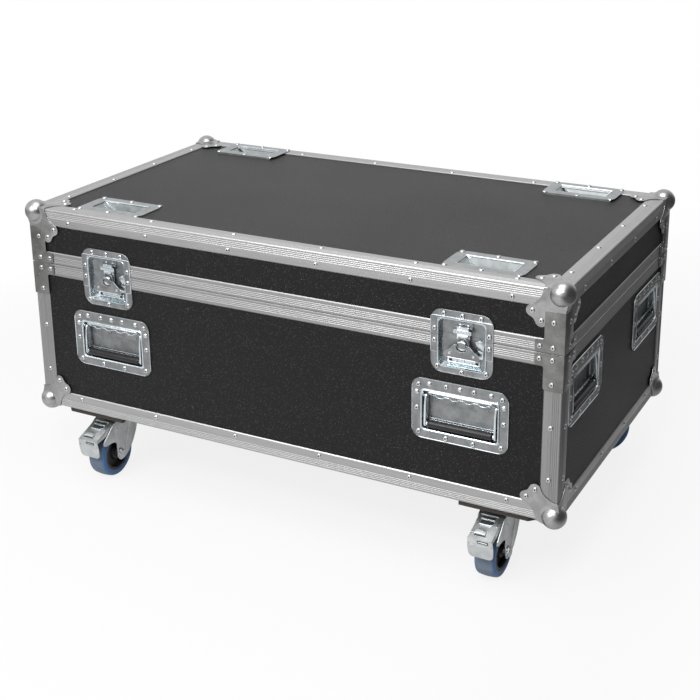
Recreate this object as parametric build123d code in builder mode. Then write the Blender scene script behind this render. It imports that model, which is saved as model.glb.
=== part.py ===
from build123d import *
import os

os.makedirs("parts", exist_ok=True)

# Body of the case, millimetres. Origin on the floor under the middle, +Z up, front at -Y.
BODY_L, BODY_W, BODY_H = 1040.0, 586.0, 396.0
FLOOR_GAP = 140.0
BASE_H = 290.0
HX, HY = BODY_L / 2, BODY_W / 2
Z0 = FLOOR_GAP
ZP = Z0 + BASE_H
ZT = Z0 + BODY_H
PLY = 9.0
SKIN = 2.0
EDGE = 31.5
BAND_LO, BAND_HI = 23.0, 23.0
LINING = 12.0

# Recessed handles, latches and castor dishes.
H_W, H_H, H_R = 170.0, 108.0, 18.0
H_OPEN_W, H_OPEN_H = 131.6, 72.2
H_DEPTH = 16.0
PIVOT_Y, PIVOT_Z, PIN_R = 8.5, 20.0, 3.0
GRIP_Y, GRIP_Z, GRIP_R = 5.0, -24.5, 9.0
FRONT_HANDLES = [("front", -348.0), ("front", 348.0), ("back", -348.0), ("back", 348.0)]
SIDE_HANDLES = [("right", -176.0), ("right", 176.0), ("left", -176.0), ("left", 176.0)]
FRONT_HANDLE_Z, SIDE_HANDLE_Z = Z0 + 155.0, Z0 + 204.5
LATCHES = [("front", -350.0), ("front", 350.0), ("back", -350.0), ("back", 350.0)]
L_W, L_R, L_OPEN, L_DEPTH = 108.5, 20.0, 79.0, 11.5
L_BOTTOM, L_TOP = -65.0, 43.5
L_OPEN_BOTTOM, L_OPEN_TOP = -52.0, 27.0
DRUM_Z, DRUM_R, SPINDLE_R = -12.0, 16.0, 4.0
WING_Y, WING_Z = 0.2, -14.0
D_L, D_W, D_OPEN_L, D_OPEN_W, D_DEPTH = 140.0, 82.0, 104.0, 42.0, 20.0
DISHES = [(-366.5, -220.5), (366.5, -220.5), (-366.5, 247.0), (366.5, 247.0)]

# Castors: swivel axis and the way each fork points at rest.
CASTORS = [(-400.0, -219.0, 0.0), (400.0, -219.0, 0.0), (-400.0, 247.0, -136.2), (400.0, 247.0, 136.2)]
WHEEL_R, WHEEL_W, AXLE_Z, TRAIL = 47.0, 36.0, 47.0, 38.0
AXLE_R, KINGPIN_R = 5.0, 6.0
RUN = 0.06


def save(part, name):
    part.label = name
    export_step(part, "parts/" + name + ".step")


def slab(x0, x1, y0, y1, z0, z1, mode=Mode.ADD):
    with Locations(((x0 + x1) / 2, (y0 + y1) / 2, (z0 + z1) / 2)):
        Box(abs(x1 - x0), abs(y1 - y0), abs(z1 - z0), mode=mode)


def block(inset, z0, z1, mode=Mode.ADD):
    slab(-HX + inset, HX - inset, -HY + inset, HY - inset, z0, z1, mode)


def on_face(face, u, z, depth=0.0):
    if face == "front":
        return Location((u, -HY + depth, z))
    if face == "back":
        return Location((-u, HY - depth, z), (0, 0, 180))
    if face == "right":
        return Location((HX - depth, u, z), (0, 0, 90))
    return Location((-HX + depth, -u, z), (0, 0, -90))


def handle_places():
    places = [on_face(f, u, FRONT_HANDLE_Z) for f, u in FRONT_HANDLES]
    return places + [on_face(f, u, SIDE_HANDLE_Z) for f, u in SIDE_HANDLES]


def cut_handles(y0, y1, grow):
    with Locations(*handle_places()):
        with Locations((0, (y0 + y1) / 2, 0)):
            Box(H_OPEN_W + grow, y1 - y0, H_OPEN_H + grow, mode=Mode.SUBTRACT)


def cut_latches(y0, y1, z0, z1, grow):
    with Locations(*[on_face(f, u, ZP) for f, u in LATCHES]):
        with Locations((0, (y0 + y1) / 2, (z0 + z1) / 2)):
            Box(L_OPEN + grow, y1 - y0, z1 - z0, mode=Mode.SUBTRACT)


def castor_holes(radius, z0, z1):
    with Locations(*[(x, y, (z0 + z1) / 2) for x, y, turn in CASTORS]):
        with GridLocations(80.0, 60.0, 2, 2):
            Cylinder(radius, z1 - z0, mode=Mode.SUBTRACT)


# Base: floor and four walls of laminated ply.
with BuildPart() as floor_panel:
    block(SKIN + PLY, Z0 + SKIN, Z0 + SKIN + PLY)
    castor_holes(4.5, Z0, Z0 + SKIN + PLY + 1)
save(floor_panel.part, "floor_panel")

for wall_name, face, half in [("front_wall", "front", HX - SKIN), ("back_wall", "back", HX - SKIN),
                              ("left_wall", "left", HY - SKIN - PLY), ("right_wall", "right", HY - SKIN - PLY)]:
    with BuildPart() as wall:
        with Locations(on_face(face, 0, (Z0 + ZP) / 2, SKIN + PLY / 2)):
            Box(2 * half, PLY, BASE_H - 2 * SKIN)
        cut_handles(0, 12, 2.9)
        cut_latches(-2, 14, -54.2, 5, 3.4)
    save(wall.part, wall_name)

# Aluminium edging: a rounded angle round the bottom and up the four corners.
with BuildPart() as base_edging:
    with BuildSketch(Plane.XY.offset(Z0)):
        RectangleRounded(BODY_L, BODY_W, 3.0)
    extrude(amount=BASE_H - BAND_LO)
    fillet(base_edging.edges().group_by(Axis.Z)[0], radius=2.5)
    block(SKIN, Z0 + SKIN, ZP, Mode.SUBTRACT)
    block(EDGE, Z0 - 1, Z0 + EDGE, Mode.SUBTRACT)
    slab(-HX + EDGE, HX - EDGE, -HY - 1, HY + 1, Z0 + EDGE, ZP, Mode.SUBTRACT)
    slab(-HX - 1, HX + 1, -HY + EDGE, HY - EDGE, Z0 + EDGE, ZP, Mode.SUBTRACT)
    castor_holes(4.5, Z0 - 1, Z0 + SKIN + 1)
save(base_edging.part, "base_edging")

# Closing frames: the base carries the tongue, the lid the groove.
with BuildPart() as base_frame:
    block(0, ZP - BAND_LO, ZP)
    fillet(base_frame.edges().filter_by(Axis.Z), radius=3.0)
    block(SKIN, ZP - BAND_LO - 1, ZP - SKIN, Mode.SUBTRACT)
    block(SKIN + PLY, ZP - BAND_LO, ZP - SKIN)
    block(SKIN + PLY + 2, ZP - BAND_LO - 1, ZP + 1, Mode.SUBTRACT)
    with BuildSketch(Plane.XY.offset(ZP)):
        Rectangle(BODY_L - 10, BODY_W - 10)
        Rectangle(BODY_L - 16, BODY_W - 16, mode=Mode.SUBTRACT)
    extrude(amount=5.0)
    cut_latches(-2, 15, -60, 8, 3.4)
save(base_frame.part, "base_closing_frame")

with BuildPart() as lid_frame:
    block(0, ZP + 0.2, ZP + BAND_HI)
    fillet(lid_frame.edges().filter_by(Axis.Z), radius=3.0)
    block(SKIN, ZP + 7, ZP + BAND_HI + 1, Mode.SUBTRACT)
    block(SKIN + PLY, ZP + 7, ZP + BAND_HI)
    block(SKIN + PLY + 2, ZP, ZP + BAND_HI + 1, Mode.SUBTRACT)
    with BuildSketch(Plane.XY.offset(ZP)):
        Rectangle(BODY_L - 9, BODY_W - 9)
        Rectangle(BODY_L - 17, BODY_W - 17, mode=Mode.SUBTRACT)
    extrude(amount=5.6, mode=Mode.SUBTRACT)
    cut_latches(-2, 15, -5, 60, 3.4)
save(lid_frame.part, "lid_closing_frame")

# Lid: top sheet, wall ring, edging.
with BuildPart() as lid_top:
    block(SKIN, ZT - SKIN - PLY, ZT - SKIN)
    with Locations(*[(x, y, ZT) for x, y in DISHES]):
        Box(D_OPEN_L + 4, D_OPEN_W + 4, 40, mode=Mode.SUBTRACT)
save(lid_top.part, "lid_top")

with BuildPart() as lid_walls:
    block(SKIN, ZP + 7, ZT - SKIN - PLY)
    block(SKIN + PLY, ZP, ZT, Mode.SUBTRACT)
    cut_latches(-2, 14, 0, 29.4, 3.4)
save(lid_walls.part, "lid_walls")

with BuildPart() as lid_edging:
    with BuildSketch(Plane.XY.offset(ZP + BAND_HI)):
        RectangleRounded(BODY_L, BODY_W, 3.0)
    extrude(amount=ZT - ZP - BAND_HI)
    fillet(lid_edging.edges().group_by(Axis.Z)[-1], radius=2.5)
    block(SKIN, ZP, ZT - SKIN, Mode.SUBTRACT)
    block(EDGE, ZT - EDGE, ZT + 1, Mode.SUBTRACT)
    slab(-HX + EDGE, HX - EDGE, -HY - 1, HY + 1, ZP, ZT - EDGE, Mode.SUBTRACT)
    slab(-HX - 1, HX + 1, -HY + EDGE, HY - EDGE, ZP, ZT - EDGE, Mode.SUBTRACT)
    with Locations(*[(x, y, ZT) for x, y in DISHES]):
        Box(D_OPEN_L + 4, D_OPEN_W + 4, 10, mode=Mode.SUBTRACT)
save(lid_edging.part, "lid_edging")

# Foam linings with pockets behind the dishes.
with BuildPart() as base_foam:
    block(SKIN + PLY, Z0 + SKIN + PLY, ZP - BAND_LO - 1)
    block(SKIN + PLY + LINING, Z0 + SKIN + PLY + LINING, ZP, Mode.SUBTRACT)
    cut_handles(10, 18.2, 5)
    cut_latches(10, 14, -57, 5, 5)
save(base_foam.part, "base_foam")

with BuildPart() as lid_foam:
    block(SKIN + PLY, ZP + BAND_HI + 1, ZT - SKIN - PLY)
    block(SKIN + PLY + LINING, ZP, ZT - SKIN - PLY - LINING, Mode.SUBTRACT)
    cut_latches(10, 14, 0, 32, 5)
    with Locations(*[(x, y, ZT) for x, y in DISHES]):
        Box(D_OPEN_L + 8, D_OPEN_W + 8, 60, mode=Mode.SUBTRACT)
save(lid_foam.part, "lid_foam")

# Ball corners: a pressed ball with a two-lobed leaf on each face.
LEAF = [(-1.5, -1.5), (37, -1.5), (37, 5), (41, 15), (48, 25), (54, 30), (54, 39), (39, 54), (30, 54),
        (25, 48), (15, 41), (5, 37), (-1.5, 37)]
LOBES = [(54, 39), (39, 54)]


def leaf(origin, across, down, out):
    normal = Vector(*across).cross(Vector(*down))
    sign = 1 if normal.dot(Vector(*out)) > 0 else -1
    plane = Plane(origin=origin, x_dir=across, z_dir=normal)
    with BuildSketch(plane) as outline:
        Polygon(*LEAF, align=None)
        with Locations(*LOBES):
            Circle(9)
    extrude(outline.sketch, amount=1.5 * sign)
    with BuildSketch(plane) as pads_below:
        Polygon(*LEAF[4:9], (EDGE, EDGE), align=None)
        with Locations(*LOBES):
            Circle(9)
        with Locations((0, 0)):
            Rectangle(EDGE, 80, align=(Align.MIN, Align.MIN), mode=Mode.SUBTRACT)
            Rectangle(80, EDGE, align=(Align.MIN, Align.MIN), mode=Mode.SUBTRACT)
    extrude(pads_below.sketch, amount=-SKIN * sign)


def ball_corner(z, s):
    with Locations((HX - 9, -HY + 9, z - 9 * s)):
        Sphere(21.0)
    slab(HX - 60, HX, -HY, -HY + 60, z - 60 * s, z, Mode.SUBTRACT)
    leaf((HX, -HY, z), (-1, 0, 0), (0, 0, -s), (0, -1, 0))
    leaf((HX, -HY, z), (0, 1, 0), (0, 0, -s), (1, 0, 0))
    if s > 0:
        leaf((HX, -HY, z), (-1, 0, 0), (0, 1, 0), (0, 0, 1))
    mirror(about=Plane.YZ)
    mirror(about=Plane.XZ)


with BuildPart() as bottom_corners:
    ball_corner(Z0, -1)
save(bottom_corners.part, "bottom_ball_corners")

with BuildPart() as top_corners:
    ball_corner(ZT, 1)
save(top_corners.part, "top_ball_corners")


# Braces wrap the corners on both sides of the parting line.
def brace(z0, z1, arm0, arm1):
    slab(HX - 33, HX + 1.5, -HY - 1.5, -HY + 33, z0, z1)
    slab(HX - 48, HX + 1.5, -HY - 1.5, -HY + 52, arm0, arm1)
    fillet(edges().filter_by(Axis.Z).filter_by(lambda e: e.center().X > HX + 1 and e.center().Y < -HY - 1),
           radius=3.0)
    slab(HX - 70, HX, -HY, -HY + 70, z0 - 1, z1 + 1, Mode.SUBTRACT)
    mirror(about=Plane.YZ)
    mirror(about=Plane.XZ)


with BuildPart() as base_braces:
    brace(Z0 + 228, ZP - 1, ZP - 21.5, ZP - 1)
save(base_braces.part, "base_braces")

with BuildPart() as lid_braces:
    brace(ZP + 1.2, ZT - 40, ZP + 1.2, ZP + 22)
    add(top_corners.part, mode=Mode.SUBTRACT)
save(lid_braces.part, "lid_braces")

# Handle dishes, all in one frame whose y is zero at the edging face and grows inward.
XZ = Plane.XZ


with BuildPart() as dish:
    with BuildSketch(XZ.offset(-SKIN)):
        RectangleRounded(H_W, H_H, H_R)
    extrude(amount=1.5)
    with BuildSketch(XZ.offset(-H_DEPTH - 1.2)):
        RectangleRounded(H_OPEN_W + 2.4, H_OPEN_H + 2.4, 6)
    extrude(amount=H_DEPTH - 0.3)
    with BuildSketch(XZ.offset(-H_DEPTH)):
        RectangleRounded(H_OPEN_W, H_OPEN_H, 5)
    extrude(amount=H_DEPTH + 5, mode=Mode.SUBTRACT)
    with Locations((0, PIVOT_Y, PIVOT_Z)):
        Cylinder(PIN_R + RUN, H_OPEN_W + 10, rotation=(0, 90, 0), mode=Mode.SUBTRACT)

with BuildPart() as handle_dishes:
    with Locations(*handle_places()):
        add(dish.part)
save(handle_dishes.part, "handle_dishes")

# Bail: rubber grip on a steel rod, two flat arms and two pivot pins.
with BuildPart() as bail:
    for side in (-1, 1):
        with BuildSketch(Plane.YZ.offset(side * 62.0 - 1.5)):
            with Locations((PIVOT_Y, PIVOT_Z)):
                Circle(5)
            with Locations((GRIP_Y, GRIP_Z)):
                Circle(6)
            make_hull()
        extrude(amount=3)
        with Locations((side * 63.7, PIVOT_Y, PIVOT_Z)):
            Cylinder(PIN_R, 6.4, rotation=(0, 90, 0))
    with Locations((0, GRIP_Y, GRIP_Z)):
        Cylinder(4.0, 122, rotation=(0, 90, 0))

with BuildPart() as grip:
    with Locations((0, GRIP_Y, GRIP_Z)):
        Cylinder(GRIP_R, 114, rotation=(0, 90, 0))
        Cylinder(4.1, 130, rotation=(0, 90, 0), mode=Mode.SUBTRACT)
    fillet(grip.edges().filter_by(GeomType.CIRCLE).filter_by(lambda e: e.radius > 5), radius=2.0)

BAIL_NAMES = ["bail_front_left", "bail_front_right", "bail_back_right", "bail_back_left",
              "bail_right_front", "bail_right_back", "bail_left_back", "bail_left_front"]
for bail_name, place in zip(BAIL_NAMES, handle_places()):
    with BuildPart() as placed:
        with Locations(place):
            add(bail.part)
            add(grip.part)
    save(placed.part, bail_name)


# Latch dishes: the flange steps over the closing frame; z is zero on the parting line.
def latch_dish(path, z_low, z_high):
    with BuildSketch(Plane.YZ) as section:
        with BuildLine():
            Polyline(*path, close=True)
        make_face()
    extrude(section.sketch, amount=L_W / 2, both=True)
    with BuildSketch(XZ.offset(5)) as flange:
        with Locations((0, (L_BOTTOM + L_TOP) / 2)):
            RectangleRounded(L_W, L_TOP - L_BOTTOM, L_R)
    extrude(flange.sketch, amount=-12, mode=Mode.INTERSECT)
    mid, tall = (L_OPEN_BOTTOM + L_OPEN_TOP) / 2, L_OPEN_TOP - L_OPEN_BOTTOM
    with BuildSketch(XZ.offset(-L_DEPTH - 1.2)) as tray:
        with Locations((0, mid)):
            RectangleRounded(L_OPEN + 2.4, tall + 2.4, 8)
        with Locations((0, (z_low + z_high) / 2)):
            Rectangle(200, z_high - z_low, mode=Mode.INTERSECT)
    extrude(tray.sketch, amount=L_DEPTH + 1.2 + 0.5)
    with BuildSketch(XZ.offset(-L_DEPTH)) as recess:
        with Locations((0, mid)):
            RectangleRounded(L_OPEN, tall, 7)
    extrude(recess.sketch, amount=L_DEPTH + 5, mode=Mode.SUBTRACT)


LOW_PATH = [(2, -65), (0.5, -65), (0.5, -31), (-1.5, -29), (-1.5, -0.1), (0, -0.1), (0, -28), (2, -30)]
HIGH_PATH = [(0, 0.3), (-1.5, 0.3), (-1.5, 30.8), (0.5, 32.8), (0.5, 43.5), (2, 43.5), (2, 31.8), (0, 29.8)]

with BuildPart() as low_dish:
    latch_dish(LOW_PATH, -80, -0.1)
    with Locations((0, L_DEPTH, DRUM_Z)):
        Cylinder(SPINDLE_R + RUN, 10, rotation=(90, 0, 0), mode=Mode.SUBTRACT)
    slab(-30, 30, 9.5, L_DEPTH, -46, -28)

with BuildPart() as high_dish:
    latch_dish(HIGH_PATH, 0.3, 80)
    with BuildSketch(Plane.YZ.offset(-15.5)):
        Polygon((L_DEPTH + 0.2, 12), (8, 12), (6.9, 13.2), (6.9, 15.8), (8, 17), (10.3, 17), (10.3, 25),
                (L_DEPTH + 0.2, 25), align=None)
    extrude(amount=31)

LATCH_PLACES = [on_face(f, u, ZP) for f, u in LATCHES]
LATCH_TAGS = ["front_left", "front_right", "back_right", "back_left"]

for group_name, unit in [("latch_dishes_lower", low_dish), ("latch_dishes_upper", high_dish)]:
    with BuildPart() as group:
        with Locations(*LATCH_PLACES):
            add(unit.part)
    save(group.part, group_name)

# Latch mechanism: turning drum, folding wing and the hook that the drum lifts.
with BuildPart() as drum:
    with Locations((0, 3.8, DRUM_Z)):
        Cylinder(DRUM_R, 3.6, rotation=(90, 0, 0))
    chamfer(drum.faces().sort_by(Axis.Y)[0].edges(), 0.6)
    with Locations((0, 9.1, DRUM_Z)):
        Cylinder(SPINDLE_R, 7.2, rotation=(90, 0, 0))
    for side in (-1, 1):
        slab(side * 8.3, side * 10.3, -1.2, 2.2, -16.2, -11.8)
    with Locations((0, WING_Y, WING_Z)):
        Cylinder(0.8, 18, rotation=(0, 90, 0))

with BuildPart() as wing:
    with BuildSketch(XZ.offset(-1.0)):
        Polygon((-8, -14), (8, -14), (8, -17.5), (20, -24), (29, -31), (28, -36), (-28, -36), (-29, -31),
                (-20, -24), (-8, -17.5), align=None)
    extrude(amount=1.6)
    with Locations((0, WING_Y, WING_Z)):
        Cylinder(1.6, 16, rotation=(0, 90, 0))
        Cylinder(0.8 + RUN, 20, rotation=(0, 90, 0), mode=Mode.SUBTRACT)

with BuildPart() as hook:
    slab(-11, 11, 6.2, 9.0, -26, 7)
    slab(-10, 10, 3.2, 6.4, 5, 16.2)
    slab(-4.5, 4.5, 5, 10, -20.5, -7.5, Mode.SUBTRACT)

for tag, place in zip(LATCH_TAGS, LATCH_PLACES):
    for unit_name, unit in [("latch_drum_", drum), ("latch_wing_", wing), ("latch_hook_", hook)]:
        with BuildPart() as placed:
            with Locations(place):
                add(unit.part)
        save(placed.part, unit_name + tag)

# Castor dishes in the lid top: a bowl shaped like the wheel it takes.
with BuildPart() as bowl:
    with BuildSketch():
        RectangleRounded(D_OPEN_L + 2.4, D_OPEN_W + 2.4, 7)
    extrude(amount=-D_DEPTH - 1.2, taper=14)
    with Locations((0, 0, 58.8)):
        Cylinder(80.0, 100, rotation=(90, 0, 0), mode=Mode.INTERSECT)
    with BuildSketch():
        RectangleRounded(D_L, D_W, 18)
    extrude(amount=-1.5)
    with BuildSketch():
        RectangleRounded(D_OPEN_L, D_OPEN_W, 6)
    extrude(amount=2)

with BuildPart() as bowl_space:
    with BuildSketch():
        RectangleRounded(D_OPEN_L, D_OPEN_W, 6)
    extrude(amount=-D_DEPTH, taper=14)
    with Locations((0, 0, 58.8)):
        Cylinder(78.8, 100, rotation=(90, 0, 0), mode=Mode.INTERSECT)
    with BuildSketch():
        RectangleRounded(D_OPEN_L, D_OPEN_W, 6)
    extrude(amount=5)

with BuildPart() as dish_top:
    add(bowl.part)
    add(bowl_space.part, mode=Mode.SUBTRACT)

with BuildPart() as castor_dishes:
    with Locations(*[(x, y, ZT - 0.5) for x, y in DISHES[:2]]):
        add(dish_top.part)
    with Locations(*[(x, y, ZT + 1.5) for x, y in DISHES[2:]]):
        add(dish_top.part)
    for x, y in DISHES[2:]:
        slab(x - D_L / 2 + 5, x + D_L / 2 - 5, y - D_W / 2 + 0.2, y - D_W / 2 + 6, ZT - SKIN, ZT)
save(castor_dishes.part, "castor_dishes")

# Castors: ply pads, top plates with raceway and king pin, bolts.
with BuildPart() as pads:
    for side in (-1, 1):
        for y0, y1, cut, sy in [(-283, -127, 45, -1), (134, 290, 38, 1)]:
            x_in, x_out = side * 345, side * 512
            y_out, y_in = (y0, y1) if sy < 0 else (y1, y0)
            with BuildSketch(Plane.XY.offset(Z0 - 12)):
                Polygon((x_in, y_in), (x_out, y_in), (x_out, y_out - sy * cut), (x_out - side * cut, y_out),
                        (x_in, y_out), align=None)
            extrude(amount=12)
            slab(x_in, side * (HX - EDGE), y_in, sy * (HY - EDGE), Z0, Z0 + SKIN)
    castor_holes(4.5, Z0 - 13, Z0 + 3)
save(pads.part, "castor_pads")

PLATE_TOP = Z0 - 12
with BuildPart() as plates:
    with BuildSketch(Plane.XY.offset(PLATE_TOP - 3)):
        with Locations(*[(x, y) for x, y, turn in CASTORS]):
            RectangleRounded(105, 85, 8)
    extrude(amount=3)
    castor_holes(4.5, 100, 140)
    with Locations(*[(x, y, 0) for x, y, turn in CASTORS]):
        with Locations((0, 0, 122.1)):
            Cylinder(25, 5.8)
        with Locations((0, 0, 113)):
            Cylinder(KINGPIN_R, 14)
save(plates.part, "castor_plates")

with BuildPart() as bolts:
    for x, y, turn in CASTORS:
        with BuildSketch(Plane.XY.offset(PLATE_TOP - 8.3)):
            with Locations((x, y)):
                with GridLocations(80.0, 60.0, 2, 2):
                    RegularPolygon(6.5, 6)
        extrude(amount=5.3)
        with BuildSketch(Plane.XY.offset(PLATE_TOP - 3)):
            with Locations((x, y)):
                with GridLocations(80.0, 60.0, 2, 2):
                    Circle(4.0)
        extrude(amount=24)
save(bolts.part, "castor_bolts")

# Swivel fork: crown, two legs, axle bolt.
LEG = [(26, 118.8), (-40, 118.8), (-54, 114), (-54, 99), (-50, 90), (-46, 80), (-46, 50), (-44.5, 41),
       (-41, 34.5), (-36, 32), (-28, 32), (-19, 35), (-9, 42), (4, 55), (16, 76), (22, 95), (26, 110)]
with BuildPart() as fork:
    with BuildSketch(Plane.YZ.offset(-24)):
        with BuildLine():
            Polyline(*LEG, close=True)
        make_face()
    extrude(amount=48)
    slab(-21.5, 21.5, -70, 40, 0, 115.8, Mode.SUBTRACT)
    slab(-21.5, 21.5, -70, -40, 0, 130, Mode.SUBTRACT)
    with Locations((0, 0, 113.4)):
        Cylinder(21.5, 10.8)
        Cylinder(KINGPIN_R + RUN, 30, mode=Mode.SUBTRACT)
    with Locations((0, -48, 104)):
        Cylinder(2.5 + RUN, 60, rotation=(0, 90, 0), mode=Mode.SUBTRACT)
    with Locations((0, -TRAIL, AXLE_Z)):
        Cylinder(AXLE_R, 54, rotation=(0, 90, 0))
    for x0 in (-30, 24):
        with BuildSketch(Plane.YZ.offset(x0)):
            with Locations((-TRAIL, AXLE_Z)):
                RegularPolygon(8.5, 6)
        extrude(amount=6)

with BuildPart() as rim:
    with BuildSketch(Plane.XZ):
        with BuildLine():
            Polyline((-18.5, AXLE_R + RUN), (-18.5, 12), (-7, 14), (-7, 28), (-17, 30), (-17, 34), (17, 34),
                     (17, 30), (7, 28), (7, 14), (18.5, 12), (18.5, AXLE_R + RUN), close=True)
        make_face()
    revolve(axis=Axis.X)

with BuildPart() as tyre:
    with BuildSketch(Plane.XZ):
        with BuildLine():
            Polyline((-17, 34), (-18, 36), (-18, 43.5), (-16, 45.2), (-9, 46.6), (0, 47), (9, 46.6),
                     (16, 45.2), (18, 43.5), (18, 36), (17, 34), close=True)
        make_face()
    revolve(axis=Axis.X)

with BuildPart() as pedal:
    with BuildSketch(Plane.YZ.offset(-20.9)):
        with BuildLine():
            Polyline((-44, 118.2), (-52, 115.8), (-104, 97.6), (-103.3, 95.6), (-51.5, 113.8), (-44, 116.2),
                     close=True)
        make_face()
    extrude(amount=41.8)
    with BuildSketch(Plane.YZ.offset(-24)):
        with BuildLine():
            Polyline((-104, 97.6), (-98, 59), (-96, 59.3), (-101.6, 95.6), (-103.3, 95.6), close=True)
        make_face()
    extrude(amount=48)
    for x0 in (-20.9, 19.4):
        with BuildSketch(Plane.YZ.offset(x0)):
            with BuildLine():
                Polyline((-44, 117), (-52, 115), (-104, 97), (-102, 92), (-60, 98), (-44, 98), close=True)
            make_face()
        extrude(amount=1.5)
    for x0 in (-24, 19.4):
        with Locations((x0 + 2.3, -48, 104)):
            Cylinder(2.5, 4.6, rotation=(0, 90, 0))

CASTOR_TAGS = ["front_left", "front_right", "back_left", "back_right"]
for tag, (x, y, turn) in zip(CASTOR_TAGS, CASTORS):
    units = [("castor_fork_", fork, (0, 0, 0)), ("wheel_rim_", rim, (0, -TRAIL, AXLE_Z)),
             ("wheel_tyre_", tyre, (0, -TRAIL, AXLE_Z))]
    if turn == 0:
        units.append(("brake_pedal_", pedal, (0, 0, 0)))
    for unit_name, unit, shift in units:
        with BuildPart() as placed:
            with Locations(Location((x, y, 0), (0, 0, turn))):
                with Locations(shift):
                    add(unit.part)
        save(placed.part, unit_name + tag)

# Rivet heads, each a shallow twelve-sided dome standing on its plate.
with BuildPart() as dome:
    with BuildSketch(XZ):
        RegularPolygon(3.67, 12)
    extrude(amount=1.6, taper=35)

BASE_RIVETS, LID_RIVETS = [], []
for place, z in [((f, u), FRONT_HANDLE_Z) for f, u in FRONT_HANDLES] + [((f, u), SIDE_HANDLE_Z) for f, u in SIDE_HANDLES]:
    for du, dz in [(-73, 40.7), (73, 40.7), (-24.3, 44.4), (24.3, 44.4), (-76, -1), (76, -1), (-72.5, -43),
                   (72.5, -43), (-24, -46.8), (24, -46.8), (0, 44.2), (-54, 44.2), (54, 44.2), (-76, 27),
                   (76, 27)]:
        BASE_RIVETS.append(on_face(place[0], place[1] + du, z + dz, 0.5))
for f, u in LATCHES:
    for du, dz, y in [(-47, -10.5, -1.5), (47, -10.5, -1.5), (-42.5, -55.4, 0.5), (42.5, -55.4, 0.5), (0, -60, 0.5)]:
        BASE_RIVETS.append(on_face(f, u + du, ZP + dz, y))
    for du, dz, y in [(-47, 10, -1.5), (47, 10, -1.5), (-32, 36.5, 0.5), (0, 36.5, 0.5), (32, 36.5, 0.5)]:
        LID_RIVETS.append(on_face(f, u + du, ZP + dz, y))
for f, half in [("front", HX), ("back", HX), ("right", HY), ("left", HY)]:
    for side in (-1, 1):
        for a, b in [(54, 39), (39, 54)]:
            BASE_RIVETS.append(on_face(f, side * (half - a), Z0 + b, -1.5))
            LID_RIVETS.append(on_face(f, side * (half - a), ZT - b, -1.5))
        for a, z in [(18.5, Z0 + 239), (18.5, ZP - 10), (40, ZP - 10)]:
            BASE_RIVETS.append(on_face(f, side * (half - a), z, -1.5))
        for a, z in [(18.5, ZP + 51.5), (18.5, ZP + 10.6), (40, ZP + 10.6)]:
            LID_RIVETS.append(on_face(f, side * (half - a), z, -1.5))
        for z in (Z0 + 75, Z0 + 165):
            BASE_RIVETS.append(on_face(f, side * (half - 18), z, 0))
    row = (-432, -259, -86, 86, 259, 432) if half == HX else (-205, -68, 68, 205)
    for u in row:
        BASE_RIVETS.append(on_face(f, u, Z0 + 22.8, 0))
        LID_RIVETS.append(on_face(f, u, ZT - 22.8, 0))

TOP = (-90, 0, 0)
for x in (-432, -259, -86, 86, 259, 432):
    LID_RIVETS.append(Location((x, -HY + 22.8, ZT), TOP))
for x in (-259, -86, 86, 259):
    LID_RIVETS.append(Location((x, HY - 22.8, ZT), TOP))
for y in (-205, -68, 68, 205):
    for x in (-HX + 22.8, HX - 22.8):
        LID_RIVETS.append(Location((x, y, ZT), TOP))
for sx in (-1, 1):
    for sy in (-1, 1):
        for a, b in LOBES:
            LID_RIVETS.append(Location((sx * (HX - a), sy * (HY - b), ZT + 1.5), TOP))
for x, y in DISHES:
    top = ZT - 0.5 if y < 0 else ZT + 1.5
    for dx in (-63.5, 0, 63.5):
        for dy in (-36.4, 36.4):
            LID_RIVETS.append(Location((x + dx, y + dy, top), TOP))

for rivet_name, places in [("base_rivets", BASE_RIVETS), ("lid_rivets", LID_RIVETS)]:
    with BuildPart() as rivets:
        with Locations(*places):
            add(dome.part)
    save(rivets.part, rivet_name)
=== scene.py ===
"""Looks of a wheeled flight case with recessed latches and handles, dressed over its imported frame."""
import math
from functools import partial

import bmesh
import bpy
from mathutils import Matrix, Vector


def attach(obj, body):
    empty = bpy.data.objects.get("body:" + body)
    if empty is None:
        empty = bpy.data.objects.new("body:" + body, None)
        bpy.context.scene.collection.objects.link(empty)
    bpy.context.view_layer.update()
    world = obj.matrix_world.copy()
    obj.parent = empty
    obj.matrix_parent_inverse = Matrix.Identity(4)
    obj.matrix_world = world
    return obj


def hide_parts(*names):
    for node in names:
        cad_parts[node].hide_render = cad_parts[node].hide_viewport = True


bl_info = {
    "name": "Flight Case",
    "version": (1, 0, 0),
    "blender": (4, 5, 0),
    "location": "View3D > Sidebar > Flight Case",
    "description": "Edging, corners, latches, handles and castors of a laminated flight case",
    "category": "Add Mesh",
}

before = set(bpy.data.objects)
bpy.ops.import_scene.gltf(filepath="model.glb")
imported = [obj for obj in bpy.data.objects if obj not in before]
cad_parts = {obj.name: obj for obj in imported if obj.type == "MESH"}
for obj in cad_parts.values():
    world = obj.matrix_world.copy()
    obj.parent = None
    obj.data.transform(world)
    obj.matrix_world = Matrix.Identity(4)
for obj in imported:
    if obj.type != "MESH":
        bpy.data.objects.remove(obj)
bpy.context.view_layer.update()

# Millimetres, in the frame's own axes: front at -Y, floor at zero.
MM = 0.001
HALF_X, HALF_Y = 520.0, 293.0
BODY_LOW, PARTING, BODY_TOP = 140.0, 430.0, 536.0

# Edging: a flange's width, its nose's radius, its wall, the closing frame's half height and the panels' depth.
EDGE, NOSE, WALL, BAND, SKIN = 31.5, 3.3, 1.9, 23.0, 2.0
GROOVE = [(0.0, 0.0), (0.22, 0.3), (0.4, 1.0), (0.6, 1.0), (0.78, 0.3)]  # shares of a rib's pitch and depth
RIB_SMOOTH = 28.0  # degrees up to which an extrusion is shaded smooth

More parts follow.
